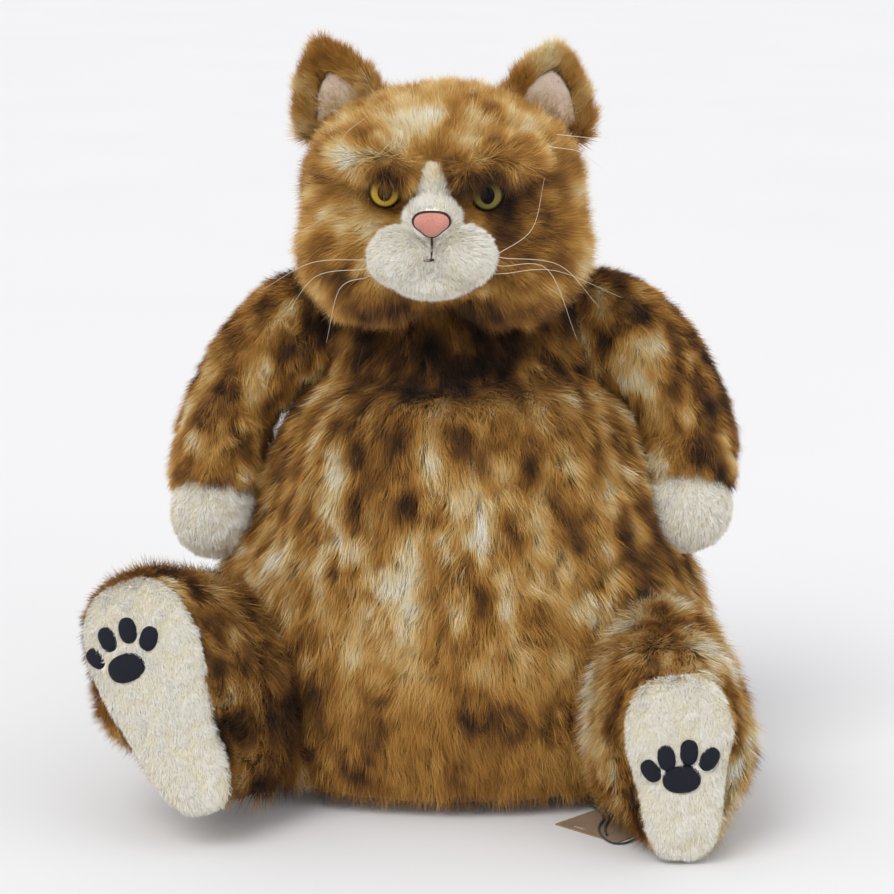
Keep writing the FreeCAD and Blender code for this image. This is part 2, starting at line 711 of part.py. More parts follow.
def face():
    outer, inner = head_form("outer", "0"), head_form("inner", "fur_thick")
    bed = head_form("bed", "fur_thick - sew_gap")
    muzzle_outer, muzzle_room = muzzle_form("outer", "0"), muzzle_form("room", "-sew_gap")
    eye_room = eyes()
    shell = cut("head_shell", outer, bed)
    skin = cut("head_skin", cut("head_skin_muzzle", shell, muzzle_room), eye_room)
    front = box("face_half", 300, 300, 300, -150, "head_seam - 300", 200)
    node("face_panel", common("face_part", skin, front))
    halves = {"left": "head_side + sew_gap / 2", "right": "head_side - 150 - sew_gap / 2"}
    for side, low in halves.items():
        back = box(f"head_back_{side}_half", 150, 200, 300, low, "head_seam + sew_gap", 200)
        node(f"head_back_{side}_panel", common(f"head_back_{side}_part", skin, back))
    filling_room = head_form("muzzle_bed", "fur_thick - 2 * sew_gap")
    nose_room = nose("room", "sew_gap")
    mouth_room = mouth("room", size("sew_gap"))
    node("muzzle_cover", cut_each("muzzle_part", muzzle_outer, [nose_room, mouth_room, filling_room, eye_room]))
    node("head_stuffing", cut("head_filling", inner, eye_room))
    node("nose_pad", nose("pad", "0"))
    node("mouth_stitch", mouth("thread", 0))
    thick = size("whisker_thick")
    face_room = fuse("face_room", [head_form("whisker_room", "-sew_gap"), muzzle_room])
    for name, threads in WHISKERS.items():
        shapes = [tube([curved(*thread)], thick) for thread in threads]
        whole = solid_feature(f"{name}_threads", Part.makeCompound(shapes))
        node(name, cut(f"{name}_free", whole, face_room))


def nose(tag, more):
    return ellipsoid(
        f"nose_{tag}", f"nose_half + {more}", f"nose_deep + {more}", f"nose_tall + {more}",
        "muzzle_side - 1", "nose_front", "muzzle_mid + nose_rise",
    )


def mouth(tag, more):
    """The sewn mouth: a thread down from the nose, and one short curve to the cat's right."""
    x = size("muzzle_side") - 0.5
    y = size("muzzle_depth") - size("lobe_deep") * 0.72
    top = size("muzzle_mid") + size("nose_rise") - size("nose_tall") - 1.5
    drop, radius = size("stitch_drop"), size("smile_radius")
    low = Vector(x, y + 1.5, top - drop)
    turn = math.radians(size("smile_turn"))
    line = Part.LineSegment(Vector(x, y, top), low).toShape()
    thick = size("stitch_thick") + 2 * more
    threads = [tube([line], thick)]
    for hand in (1, -1):
        points = [
            low + Vector(hand * radius * math.sin(a), 0.2, -radius * (1 - math.cos(a))) for a in (0, turn / 2, turn)
        ]
        threads.append(tube([Part.Arc(*points).toShape()], thick))
    whole = threads[0].fuse(threads[1:])
    return solid_feature(f"mouth_{tag}", whole)


# ---------------------------------------------------------------- tail
def tail_form(tag, less):
    """A root stub straight back, a quarter turn towards the cat's left, and a straight tip with a round end."""
    thick = f"tail_thick - ({less})"
    curl = doc.addObject("Part::Torus", f"tail_curl_{tag}")
    bind(curl, Radius1="tail_curl", Radius2=thick)
    curl.Angle3 = 90
    place(curl, "tail_root_x + tail_curl", "tail_root_y", "tail_lift", Rotation(Vector(0, 0, 1), 90))
    tip_turn = Rotation(Vector(0, 1, 0), 90)
    tip_y = "tail_root_y + tail_curl"
    tip = cylinder(f"tail_tip_{tag}", thick, "tail_tip", "tail_root_x + tail_curl", tip_y, "tail_lift", tip_turn)
    end = ball(f"tail_end_{tag}", thick, "tail_root_x + tail_curl + tail_tip", tip_y, "tail_lift")
    root = ball(f"tail_root_{tag}", thick, "tail_root_x", "tail_root_y", "tail_lift")
    return fuse(f"tail_form_{tag}", [curl, tip, end, root])


def tail():
    outer, inner = tail_form("outer", "0"), tail_form("inner", "fur_thick")
    bed = tail_form("bed", "fur_thick - sew_gap")
    node("tail_cover", cut("tail_cover_part", outer, bed))
    node("tail_stuffing", inner)


# ---------------------------------------------------------------- paper tag on its cord
# The tag's loop of elastic: both strands leave the seat's seam, cross the card and pass its corner.
CORD_ROUTES = {
    "tag_cord_outer": [
        (66.7, -79.5, 2.55),
        (68, -87, 2.4),
        (74, -98, 2),
        (77.5, -112, 1.7),
        (72.5, -127, 1.5),
        (74.5, -141, 1.4),
        (79, -149.5, 0.9),
        (85, -149.7, 0.8),
        (89.5, -145.2, 0.8),
        (94.5, -137.5, 0.8),
    ],
    "tag_cord_inner": [
        (69.7, -78, 2.55),
        (71, -86, 2.4),
        (77, -97, 2),
        (80.5, -112, 1.7),
        (75.5, -127, 1.5),
        (77, -138, 1.4),
    ],
}


def rounded_path(route):
    """Straight runs joined by tangent arcs, each as large as its shorter run allows. Prints each radius."""
    points = [Vector(*p) for p in route]
    edges, last, radii = [], points[0], []
    for before, corner, after in zip(points, points[1:], points[2:]):
        back, ahead = (before - corner), (after - corner)
        reach = 0.45 * min(back.Length, ahead.Length)
        turn = math.pi - back.getAngle(ahead)
        radii.append(reach / math.tan(turn / 2))
        enter = corner + back.normalize() * reach
        leave = corner + ahead.normalize() * reach
        middle = (enter + leave) / 2
        centre_way = (middle - corner).normalize()
        centre = corner + centre_way * math.hypot(radii[-1], reach)
        mid_arc = centre - centre_way * radii[-1]
        edges.append(Part.LineSegment(last, enter).toShape())
        edges.append(Part.Arc(enter, mid_arc, leave).toShape())
        last = leave
    edges.append(Part.LineSegment(last, points[-1]).toShape())
    print("cord radii, mm:", [round(r, 1) for r in radii])
    return edges


def rectangle(sketch, name, wide, long):
    """A rectangle about the sketch's origin, held by its own two sizes."""
    import Sketcher

    x, y = size(wide) / 2, size(long) / 2
    corners = [Vector(-x, -y, 0), Vector(x, -y, 0), Vector(x, y, 0), Vector(-x, y, 0)]
    for i in range(4):
        sketch.addGeometry(Part.LineSegment(corners[i], corners[(i + 1) % 4]), False)
    for i in range(4):
        sketch.addConstraint(Sketcher.Constraint("Coincident", i, 2, (i + 1) % 4, 1))
        sketch.addConstraint(Sketcher.Constraint("Vertical" if i % 2 else "Horizontal", i))
    sketch.addConstraint(Sketcher.Constraint("Symmetric", 0, 1, 1, 2, -1, 1))
    dimension(sketch, f"{name}_wide", Sketcher.Constraint("DistanceX", 0, 1, 0, 2, 2 * x), wide)
    dimension(sketch, f"{name}_long", Sketcher.Constraint("DistanceY", 1, 1, 1, 2, 2 * y), long)


def swing_tag():
    body = doc.addObject("PartDesign::Body", "tag_body")
    sketch = body.newObject("Sketcher::SketchObject", "tag_outline")
    flat = next(f for f in body.Origin.OriginFeatures if f.Role == "XY_Plane")
    sketch.AttachmentSupport = [(flat, "")]
    sketch.MapMode = "FlatFace"
    rectangle(sketch, "card", "tag_wide", "tag_long")
    pad = body.newObject("PartDesign::Pad", "tag_pad")
    pad.Profile = sketch
    bind(pad, Length="tag_thick")
    turn = Rotation(Vector(0, 0, 1), size("tag_turn"))
    corner = turn.multVec(Vector(size("slot_across") - size("slot_long") / 2, size("slot_up"), 0))
    lie = Placement(Vector(size("tag_x"), size("tag_y"), size("tag_lift")), turn)
    body.Placement = lie
    slot = bind(doc.addObject("Part::Box", "tag_slot"), Length="slot_long", Width="slot_wide", Height="3")
    slot.Placement = Placement(lie.Base + corner - Vector(0, 0, 1), turn)
    node("tag_card", cut("tag_part", body, slot))
    for name, route in CORD_ROUTES.items():
        edges = rounded_path(route)
        cord = tube(edges, size("cord_thick"))
        length = sum(edge.Length for edge in edges)
        section = math.pi * (size("cord_thick") / 2) ** 2
        print(name, "length, mm:", round(length, 1), "volume ratio:", round(cord.Volume / (section * length), 4))
        node(name, solid_feature(f"{name}_thread", cord))


# ---------------------------------------------------------------- build, check and write
doc.recompute()
arms()
legs()
torso()
face()
ears()
tail()
swing_tag()
doc.recompute()

bad = [thing.Name for thing in doc.Objects if {"Invalid", "Error"} & set(thing.State)]
if bad:
    raise RuntimeError(f"these did not compute: {bad}")
for name, thing in NODES.items():
    shape = thing.Shape
    if shape.isNull() or not shape.isValid() or not shape.Solids:
        raise RuntimeError(f"{name} is not a valid solid")

os.makedirs("parts", exist_ok=True)
for name, thing in NODES.items():
    thing.Shape.exportStep(f"parts/{name}.step")
    print(name, len(thing.Shape.Solids), "solid(s)", round(thing.Shape.Volume / 1000, 2), "cm3")
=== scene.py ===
"""A seated plush cat: sewn skins, long printed pile, face, soles, whiskers and paper tag.

Lengths in the numpy parts are millimetres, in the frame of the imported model: +Z up, the cat
faces -Y and its own left side is +X. They become metres when a mesh is written.
"""

import math
from itertools import product

import bpy
import numpy as np
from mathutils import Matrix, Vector


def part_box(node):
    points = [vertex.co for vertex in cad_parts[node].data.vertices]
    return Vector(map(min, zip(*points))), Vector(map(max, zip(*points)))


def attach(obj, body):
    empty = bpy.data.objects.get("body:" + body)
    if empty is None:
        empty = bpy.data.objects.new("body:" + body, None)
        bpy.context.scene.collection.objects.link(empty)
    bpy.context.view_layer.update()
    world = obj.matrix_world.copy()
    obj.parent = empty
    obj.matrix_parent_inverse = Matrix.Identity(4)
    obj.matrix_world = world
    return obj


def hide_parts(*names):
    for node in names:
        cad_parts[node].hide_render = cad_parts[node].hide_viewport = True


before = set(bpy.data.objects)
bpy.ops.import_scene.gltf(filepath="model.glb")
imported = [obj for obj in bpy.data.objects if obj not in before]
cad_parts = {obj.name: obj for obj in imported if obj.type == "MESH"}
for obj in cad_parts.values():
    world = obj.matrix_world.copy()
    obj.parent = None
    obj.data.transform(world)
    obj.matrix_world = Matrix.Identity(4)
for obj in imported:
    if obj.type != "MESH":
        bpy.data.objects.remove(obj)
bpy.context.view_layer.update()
MM = 0.001
SIDES = {"left": 1, "right": -1}


def middle(node):
    """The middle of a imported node's box, in millimetres."""
    low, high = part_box(node)
    return (np.array(low) / MM + np.array(high) / MM) / 2


# ---------------------------------------------------------------- number fields
def hash01(cells, seed):
    """A repeatable number in 0..1 for each whole-number cell: products of large primes, mixed by shifts."""
    h = cells[:, 0] * 374761393 + cells[:, 1] * 668265263 + cells[:, 2] * 2246822519 + seed * 3266489917
    h = h & 0xFFFFFFFF
    h = ((h ^ (h >> 15)) * 1274126177) & 0xFFFFFFFF
    h = ((h ^ (h >> 13)) * 1103515245) & 0xFFFFFFFF
    return (h ^ (h >> 16)) / 4294967296.0


def noise(p, size, seed=0):
    """Smooth noise in 0..1: eased trilinear steps between hashed corners of a grid of that size."""
    q = p / size + 50.0
    base = np.floor(q).astype(np.int64)
    f = q - base
    f = f * f * (3 - 2 * f)
    total = 0
    for corner in product((0, 1), repeat=3):
        step = np.array(corner)
        weight = np.prod(np.where(step, f, 1 - f), axis=1)
        total = total + weight * hash01(base + step, seed)
    return total


def nearest_spot(p, size, seed=0):
    """Each point's nearest scattered spot, one spot to a cell: its place, its distance and its own number."""
    q = p / size + 50.0
    base = np.floor(q).astype(np.int64)
    best = np.full(len(p), np.inf)
    place = np.zeros_like(q)
    own = np.zeros(len(p))
    for corner in product((-1, 0, 1), repeat=3):
        cell = base + np.array(corner)
        spot = cell + np.stack([hash01(cell, seed + k) for k in range(3)], axis=1)
        gap = np.sum((spot - q) ** 2, axis=1)
        closer = gap < best
        best = np.where(closer, gap, best)
        place = np.where(closer[:, None], spot, place)
        own = np.where(closer, hash01(cell, seed + 7), own)
    return (place - 50.0) * size, np.sqrt(best) * size, own


def bump(p, centre, reach):
    """A soft hump, 1 at centre and near 0 past reach: exp of minus the squared distance in reaches."""
    return np.exp(-np.sum(((p - np.array(centre)) / np.array(reach)) ** 2, axis=1))


def unit(v):
    return v / np.maximum(np.linalg.norm(v, axis=-1, keepdims=True), 1e-9)


def smooth_between(low, high, x):
    t = np.clip((x - low) / (high - low), 0, 1)
    return t * t * (3 - 2 * t)


def through(table, count):
    """A table's rows joined by a Catmull-Rom curve, read at count even steps."""
    rows = np.array(table, float)
    rows = np.vstack([2 * rows[0] - rows[1], rows, 2 * rows[-1] - rows[-2]])
    t = np.linspace(0, len(table) - 1 - 1e-9, count)
    i = np.floor(t).astype(int) + 1
    f = (t - np.floor(t))[:, None]
    a, b, c, d = rows[i - 1], rows[i], rows[i + 1], rows[i + 2]
    return 0.5 * (2 * b + (c - a) * f + (2 * a - 5 * b + 4 * c - d) * f**2 + (3 * b - a - 3 * c + d) * f**3)


# ---------------------------------------------------------------- meshes
class Form:
    """A closed surface: rings of points, wrapped round and closed at both ends by a pole."""

    def __init__(self, rings):
        """Polygons that face outwards, with each triangle's area and each point's normal."""
        rows, cols = rings.shape[:2]
        poles = np.stack([rings[0].mean(axis=0), rings[-1].mean(axis=0)])
        self.points = np.vstack([rings.reshape(-1, 3), poles])
        index = np.arange(rows * cols).reshape(rows, cols)
        right = np.roll(index, -1, axis=1)
        quads = np.stack([index[:-1], right[:-1], right[1:], index[1:]], axis=-1).reshape(-1, 4)
        first, last = rows * cols, rows * cols + 1
        start = np.stack([np.full(cols, first), right[0], index[0]], axis=-1)
        end = np.stack([np.full(cols, last), index[-1], right[-1]], axis=-1)
        tris = np.vstack([quads[:, [0, 1, 2]], quads[:, [0, 2, 3]], start, end])
        a, b, c = (self.points[tris[:, k]] for k in range(3))
        if np.einsum("ij,ij->i", a, np.cross(b, c)).sum() < 0:
            quads, start, end, tris = quads[:, ::-1], start[:, ::-1], end[:, ::-1], tris[:, ::-1]
        self.polygons = [quads, start, end]
        self.tris = tris
        a, b, c = (self.points[tris[:, k]] for k in range(3))
        across = np.cross(b - a, c - a)
        self.areas = np.linalg.norm(across, axis=1) / 2
        normals = np.zeros_like(self.points)
        for k in range(3):
            np.add.at(normals, tris[:, k], across)
        self.normals = unit(normals)

    def scatter(self, count, density, rng):
        """Points spread by area times density, with the surface's normal at each."""
        centres = self.points[self.tris].mean(axis=1)
        normals = unit(self.normals[self.tris].mean(axis=1))
        weight = self.areas * density(centres, normals)
        picks = rng.choice(len(self.tris), count, p=weight / weight.sum())
        u, v = np.sqrt(rng.random(count)), rng.random(count)
        shares = np.stack([1 - u, u * (1 - v), u * v], axis=1)[:, :, None]
        chosen = self.tris[picks]
        return (self.points[chosen] * shares).sum(axis=1), unit((self.normals[chosen] * shares).sum(axis=1))


def write_mesh(name, points, polygons, attributes=None, uv=None):
    """A mesh object in metres from points and arrays of polygons, with float attributes on its points."""
    loops = np.concatenate([part.ravel() for part in polygons])
    sizes = np.concatenate([np.full(len(part), part.shape[1]) for part in polygons])
    mesh = bpy.data.meshes.new(name)
    mesh.vertices.add(len(points))
    mesh.vertices.foreach_set("co", (points * MM).astype(np.float32).ravel())
    mesh.loops.add(len(loops))
    mesh.loops.foreach_set("vertex_index", loops.astype(np.int32))
    mesh.polygons.add(len(sizes))
    starts = np.concatenate([[0], np.cumsum(sizes)[:-1]])
    mesh.polygons.foreach_set("loop_start", starts.astype(np.int32))
    mesh.update(calc_edges=True)
    mesh.shade_smooth()
    for key, values in (attributes or {}).items():
        mesh.attributes.new(key, "FLOAT", "POINT").data.foreach_set("value", values.astype(np.float32))
    if uv is not None:
        layer = mesh.uv_layers.new(name="OFBake")
        layer.data.foreach_set("uv", uv[loops].astype(np.float32).ravel())
    thing = bpy.data.objects.new(name, mesh)
    bpy.context.scene.collection.objects.link(thing)
    return thing


def finish_piece(thing, body, finish, nodes=()):
    """Dress a piece, attach it to its body and hide the nodes it stands for."""
    thing.data.materials.append(finish)
    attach(thing, body)
    if nodes:
        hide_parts(*nodes)
    return thing


# ---------------------------------------------------------------- surfaces
def ring_form(table, centre_x=0.0, rows=72, cols=96, square=2.15):
    """Level rings from a table of height, half width, front and back.

    Across: x = half * |cos|^(2/square), y = middle + depth * |sin|^(2/square), each with its sign.
    """
    z, half, front, back = through(table, rows).T[:, :, None]
    angle = np.linspace(0, 2 * math.pi, cols, endpoint=False)[None, :]
    cos = np.sign(np.cos(angle)) * np.abs(np.cos(angle)) ** (2 / square)
    sin = np.sign(np.sin(angle)) * np.abs(np.sin(angle)) ** (2 / square)
    x = centre_x + half * cos
    y = (front + back) / 2 + (back - front) / 2 * sin
    return np.stack([x, y, z + 0 * x], axis=-1)


def blob(centre, lumps, rows=56, cols=80, blend=7.0, reach=160.0):
    """A rounded union of ovals, seen from centre: along each direction, the distance where the sum of
    exp(blend * (1 - q)) falls to 1, with q the distance to each oval's centre in its own half sizes."""
    down = np.linspace(0.02, math.pi - 0.02, rows)[:, None]
    turn = np.linspace(0, 2 * math.pi, cols, endpoint=False)[None, :]
    level = np.sin(down)
    way = np.stack([level * np.cos(turn), level * np.sin(turn), np.cos(down) + 0 * turn], axis=-1)
    centre = np.array(centre, float)
    near, far = np.zeros((rows, cols)), np.full((rows, cols), reach)
    for _ in range(22):
        half = (near + far) / 2
        p = centre + way * half[..., None]
        total = 0
        for place, sizes in lumps:
            q = np.linalg.norm((p - np.array(place)) / np.array(sizes), axis=-1)
            total = total + np.exp(blend * (1 - q))
        inside = total > 1
        near, far = np.where(inside, half, near), np.where(inside, far, half)
    return centre + way * ((near + far) / 2)[..., None]


def sleeve(table, up, rows=56, cols=48):
    """Ovals carried along a path, from a table of x, y, z, half width and half height.

    Each oval stands square to the path, with its height along up made square to the path.
    """
    data = through(table, rows)
    path, wide, tall = data[:, :3], data[:, 3:4, None], data[:, 4:5, None]
    ahead = unit(np.gradient(path, axis=0))
    side = unit(np.cross(ahead, np.array(up, float)))
    rise = np.cross(side, ahead)
    angle = np.linspace(0, 2 * math.pi, cols, endpoint=False)[None, :, None]
    wide, tall = np.maximum(wide, 0.5), np.maximum(tall, 0.5)
    return path[:, None] + side[:, None] * wide * np.cos(angle) + rise[:, None] * tall * np.sin(angle)


def pillow(outline, place, across, up, out, thick, rows=40):
    """A flat cushion: its outline shrinks to the middle on the front and on the back.

    Front height is thick * (1 - share^3)^(1/2) at that share of the way from middle to edge, and the back
    is half as deep.
    """
    share = np.concatenate([np.linspace(0.03, 1, rows // 2), np.linspace(1, 0.03, rows // 2)[1:]])[:, None]
    front = np.arange(len(share))[:, None] < rows // 2
    lift = np.where(front, 1.0, -0.5) * thick * np.sqrt(np.clip(1 - share**3, 0, 1))
    flat = outline[None, :, :] * share[..., None]
    return (
        np.array(place)
        + flat[..., :1] * np.array(across)
        + flat[..., 1:2] * np.array(up)
        + lift[..., None] * np.array(out)
    )


def oval_outline(half_wide, half_high, turn, cols=40, power=2.3):
    """An oval a little squarer than an ellipse, turned by an angle in radians."""
    angle = np.linspace(0, 2 * math.pi, cols, endpoint=False)
    x = half_wide * np.sign(np.cos(angle)) * np.abs(np.cos(angle)) ** (2 / power)
    y = half_high * np.sign(np.sin(angle)) * np.abs(np.sin(angle)) ** (2 / power)
    c, s = math.cos(turn), math.sin(turn)
    return np.stack([c * x - s * y, s * x + c * y], axis=1)


def thread(points, radii, cols=6, rows=16):
    """A tapered round thread along a smooth line through points."""
    data = through(np.column_stack([points, radii]), rows)
    path = data[:, :3]
    ahead = unit(np.gradient(path, axis=0))
    side = unit(np.cross(ahead, np.array([0.31, 0.17, 0.93])))
    rise = np.cross(side, ahead)
    angle = np.linspace(0, 2 * math.pi, cols, endpoint=False)[None, :, None]
    around = side[:, None] * np.cos(angle) + rise[:, None] * np.sin(angle)
    return path[:, None] + around * data[:, 3:4, None]


def joined(forms):
    """Several closed forms as one set of points and polygons."""
    points, polygons, start = [], [], 0
    for form in forms:
        points.append(form.points)
        polygons += [part + start for part in form.polygons]
        start += len(form.points)
    return np.vstack(points), polygons


# ---------------------------------------------------------------- finishes
class Value:
    """A number socket on which Python's operators add Math nodes."""

    def __init__(self, finish, socket):
        self.finish, self.socket = finish, socket

    def combined(self, operation, *terms):
        node = self.finish.make("ShaderNodeMath", {"operation": operation}, dict(enumerate(terms)))
        return Value(self.finish, node.outputs[0])

    def math(self, operation, *others):
        return self.combined(operation, self, *others)

    def __add__(self, other):
        return self.math("ADD", other)

    def __mul__(self, other):
        return self.math("MULTIPLY", other)

    def __pow__(self, other):
        return self.math("POWER", other)

    def __rsub__(self, other):
        return self.combined("SUBTRACT", other, self)

    __radd__ = __add__
    __rmul__ = __mul__

    def eased(self, low, high):
        """0 below low, 1 above high, smooth between."""
        node = self.finish.make(
            "ShaderNodeMapRange", {"interpolation_type": "SMOOTHSTEP"}, {0: self, 1: low, 2: high}
        )
        return Value(self.finish, node.outputs[0])


class Finish:
    """A material built round one Principled shader."""

    def __init__(self, name, **constants):
        """An empty material whose shader has the given inputs, with _ for each space in a name."""
        self.material = bpy.data.materials.new(name)
        self.material.use_nodes = True
        self.tree = self.material.node_tree
        self.tree.nodes.clear()
        self.shader = self.tree.nodes.new("ShaderNodeBsdfPrincipled")
        out = self.tree.nodes.new("ShaderNodeOutputMaterial")
        self.tree.links.new(self.shader.outputs[0], out.inputs[0])
        for key, value in constants.items():
            self.shader.inputs[key.replace("_", " ")].default_value = value

    def feed(self, slot, item):
        if isinstance(item, Value):
            item = item.socket
        if isinstance(item, bpy.types.NodeSocket):
            self.tree.links.new(item, slot)
        else:
            slot.default_value = item

    def make(self, kind, settings, inputs):
        node = self.tree.nodes.new(kind)
        for key, value in settings.items():
            setattr(node, key, value)
        for key, item in inputs.items():
            self.feed(node.inputs[key], item)
        return node

    def read(self, name):
        return Value(self, self.make("ShaderNodeAttribute", {"attribute_name": name}, {}).outputs["Fac"])

    def place(self):
        return self.make("ShaderNodeTexCoord", {}, {}).outputs["Object"]

    def grain(self, scale, detail):
        """Noise of the shader's own, so many to the metre."""
        node = self.make("ShaderNodeTexNoise", {}, {"Vector": self.place(), "Scale": scale, "Detail": detail})
        return Value(self, node.outputs["Fac"])

    def along(self, direction, origin_mm=(0, 0, 0)):
        """How far a point is along a direction from an origin, in millimetres."""
        shift = self.make(
            "ShaderNodeVectorMath",
            {"operation": "SUBTRACT"},
            {0: self.place(), 1: tuple(v * MM for v in origin_mm)},
        )
        dot = self.make(
            "ShaderNodeVectorMath", {"operation": "DOT_PRODUCT"}, {0: shift.outputs[0], 1: tuple(direction)}
        )
        return Value(self, dot.outputs["Value"]) * (1 / MM)

    def ramp(self, factor, stops):
        node = self.tree.nodes.new("ShaderNodeValToRGB")
        while len(node.color_ramp.elements) < len(stops):
            node.color_ramp.elements.new(1.0)
        for element, (at, colour) in zip(node.color_ramp.elements, stops):
            element.position = at
            element.color = (*colour, 1.0)
        self.feed(node.inputs[0], factor)
        return node.outputs["Color"]

    def mix(self, factor, first, second, blend="MIX"):
        node = self.tree.nodes.new("ShaderNodeMix")
        node.data_type = "RGBA"
        node.blend_type = blend
        self.feed(node.inputs[0], factor)
        for slot, colour in ((node.inputs[6], first), (node.inputs[7], second)):
            self.feed(slot, (*colour, 1.0) if isinstance(colour, tuple) else colour)
        return node.outputs[2]

    def shaded(self, colour, factor):
        """A colour made darker by a factor in 0..1."""
        grey = self.make("ShaderNodeCombineColor", {}, {0: factor, 1: factor, 2: factor}).outputs[0]
        return self.mix(1.0, colour, grey, "MULTIPLY")

    def colour(self, colour):
        self.feed(self.shader.inputs["Base Color"], (*colour, 1.0) if isinstance(colour, tuple) else colour)
        return self

    def rough(self, value):
        self.feed(self.shader.inputs["Roughness"], value)
        return self

    def relief(self, height, strength, depth_mm):
        node = self.make(
            "ShaderNodeBump", {}, {"Height": height, "Strength": strength, "Distance": depth_mm * MM}
        )
        self.tree.links.new(node.outputs[0], self.shader.inputs["Normal"])
        return self


# Coat dyes, from the darkest spots through rust and gold to the palest patches, in linear colour.
COAT_DYES = [
    (0.00, (0.012, 0.007, 0.004)),
    (0.12, (0.050, 0.022, 0.008)),
    (0.25, (0.150, 0.062, 0.014)),
    (0.38, (0.320, 0.142, 0.026)),
    (0.50, (0.500, 0.245, 0.046)),
    (0.62, (0.640, 0.375, 0.100)),
    (0.74, (0.760, 0.555, 0.240)),
    (0.85, (0.850, 0.730, 0.450)),
    (0.94, (0.900, 0.850, 0.700)),
    (1.00, (0.930, 0.910, 0.850)),
]


def pile_finish(name, sheen, root):
    """Pile: each strand in its own tone, with painted shade that darkens it towards its root by that share,
    standing for the shade deep in the pile.
    """
    made = Finish(name, Sheen_Weight=sheen, Specular_IOR_Level=0.25)
    tone, along = made.read("tone"), made.read("along")
    # Painted shade: each strand darkens towards its root, for the shade deep in the pile.
    depth = root + (1 - root) * along.eased(0.0, 0.55)
    made.colour(made.shaded(made.ramp(tone, COAT_DYES), depth))
    made.rough(0.72 - 0.16 * along)
    return made.material


def backing_finish(name, shade_under_pile):
    """The knitted backing under the pile: the pile's tone times a factor that paints the shade under the
    pile, with a fine knit and soft wear.
    """
    made = Finish(name, Sheen_Weight=0.2)
    knit = made.grain(1400.0, 2.0)
    made.colour(made.shaded(made.ramp(made.read("tone"), COAT_DYES), shade_under_pile * (0.7 + 0.5 * knit)))
    made.rough(0.85 - 0.1 * knit)
    made.relief(knit, 0.5, 0.4)
    return made.material


# The root shares paint shade into the pile: deep at the root of the long pile, slight on the short cream
# pile.
PILE = pile_finish("long_pile_fur", 0.08, 0.34)
SHORT_PILE = pile_finish("short_cream_pile", 0.3, 0.86)
# The long pile's backing is darkened to 0.42 as painted shade under the pile; the short pile's backing is not
# darkened.
BACKING = backing_finish("knitted_backing", 0.42)
SHORT_BACKING = backing_finish("short_pile_backing", 1.05)


def velour(name, colour, dark, scale):
    made = Finish(name, Sheen_Weight=0.5)
    nap, cloud = made.grain(scale, 3.0), made.grain(90.0, 3.0)
    made.colour(made.mix((nap * 0.5 + cloud * 0.5).eased(0.35, 0.7), dark, colour))
    made.rough(0.7 + 0.2 * nap)
    made.relief(nap, 0.5, 0.25)
    return made.material


def stitched(name, colour, pale, direction, pitch_mm):
    """Satin stitch: fine ridges a pitch apart across a direction."""
    made = Finish(name, Specular_IOR_Level=0.2)
    ridge = (made.along(direction) * (2 * math.pi / pitch_mm)).math("SINE") * 0.5 + 0.5
    fleck = made.grain(700.0, 2.0)
    made.colour(made.mix(ridge * fleck, colour, pale))
    made.rough(0.5 + 0.3 * fleck)
    made.relief(ridge * 0.7 + fleck * 0.3, 0.8, 0.35)
    return made.material


def filling_finish(name, colour):
    made = Finish(name)
    fluff = made.grain(260.0, 6.0)
    made.colour(made.mix(fluff.eased(0.3, 0.7), tuple(0.8 * c for c in colour), colour))
    made.rough(0.8 + 0.15 * fluff)
    made.relief(fluff, 0.8, 1.2)
    return made.material


FILLING = filling_finish("polyester_filling", (0.86, 0.85, 0.82))


# ---------------------------------------------------------------- fur
def filling(name, forms, body, node, inset=3.0):
    """The stuffing inside skins: their own surfaces moved in along their normals by inset."""
    points, polygons = joined(forms)
    normals = np.vstack([form.normals for form in forms])
    thing = write_mesh(name, points - normals * inset, polygons)
    finish_piece(thing, body, FILLING, (node,))


def constant(value):
    return lambda p, n: np.full(len(p), float(value))


# How many strands each coat has, and how wide one is at its root.
PILES = {
    "belly_half": (150000, 0.4), "back_half": (66000, 0.58), "face_half": (115000, 0.38),
    "head_back": (56000, 0.58), "ear": (34000, 0.38), "ear_tuft": (1400, 0.4), "arm": (105000, 0.44),
    "leg": (105000, 0.44), "tail": (34000, 0.55), "muzzle": (60000, 0.34), "paw": (40000, 0.38),
    "sole": (50000, 0.38),
}
LEAN = 0.8
DOWN = np.array([0.0, 0.0, -1.0])
ABOVE_FLOOR = np.array([-1e4, -1e4, 0.6])
LEAST_TONE, MOST_TONE = 0.004, 0.996


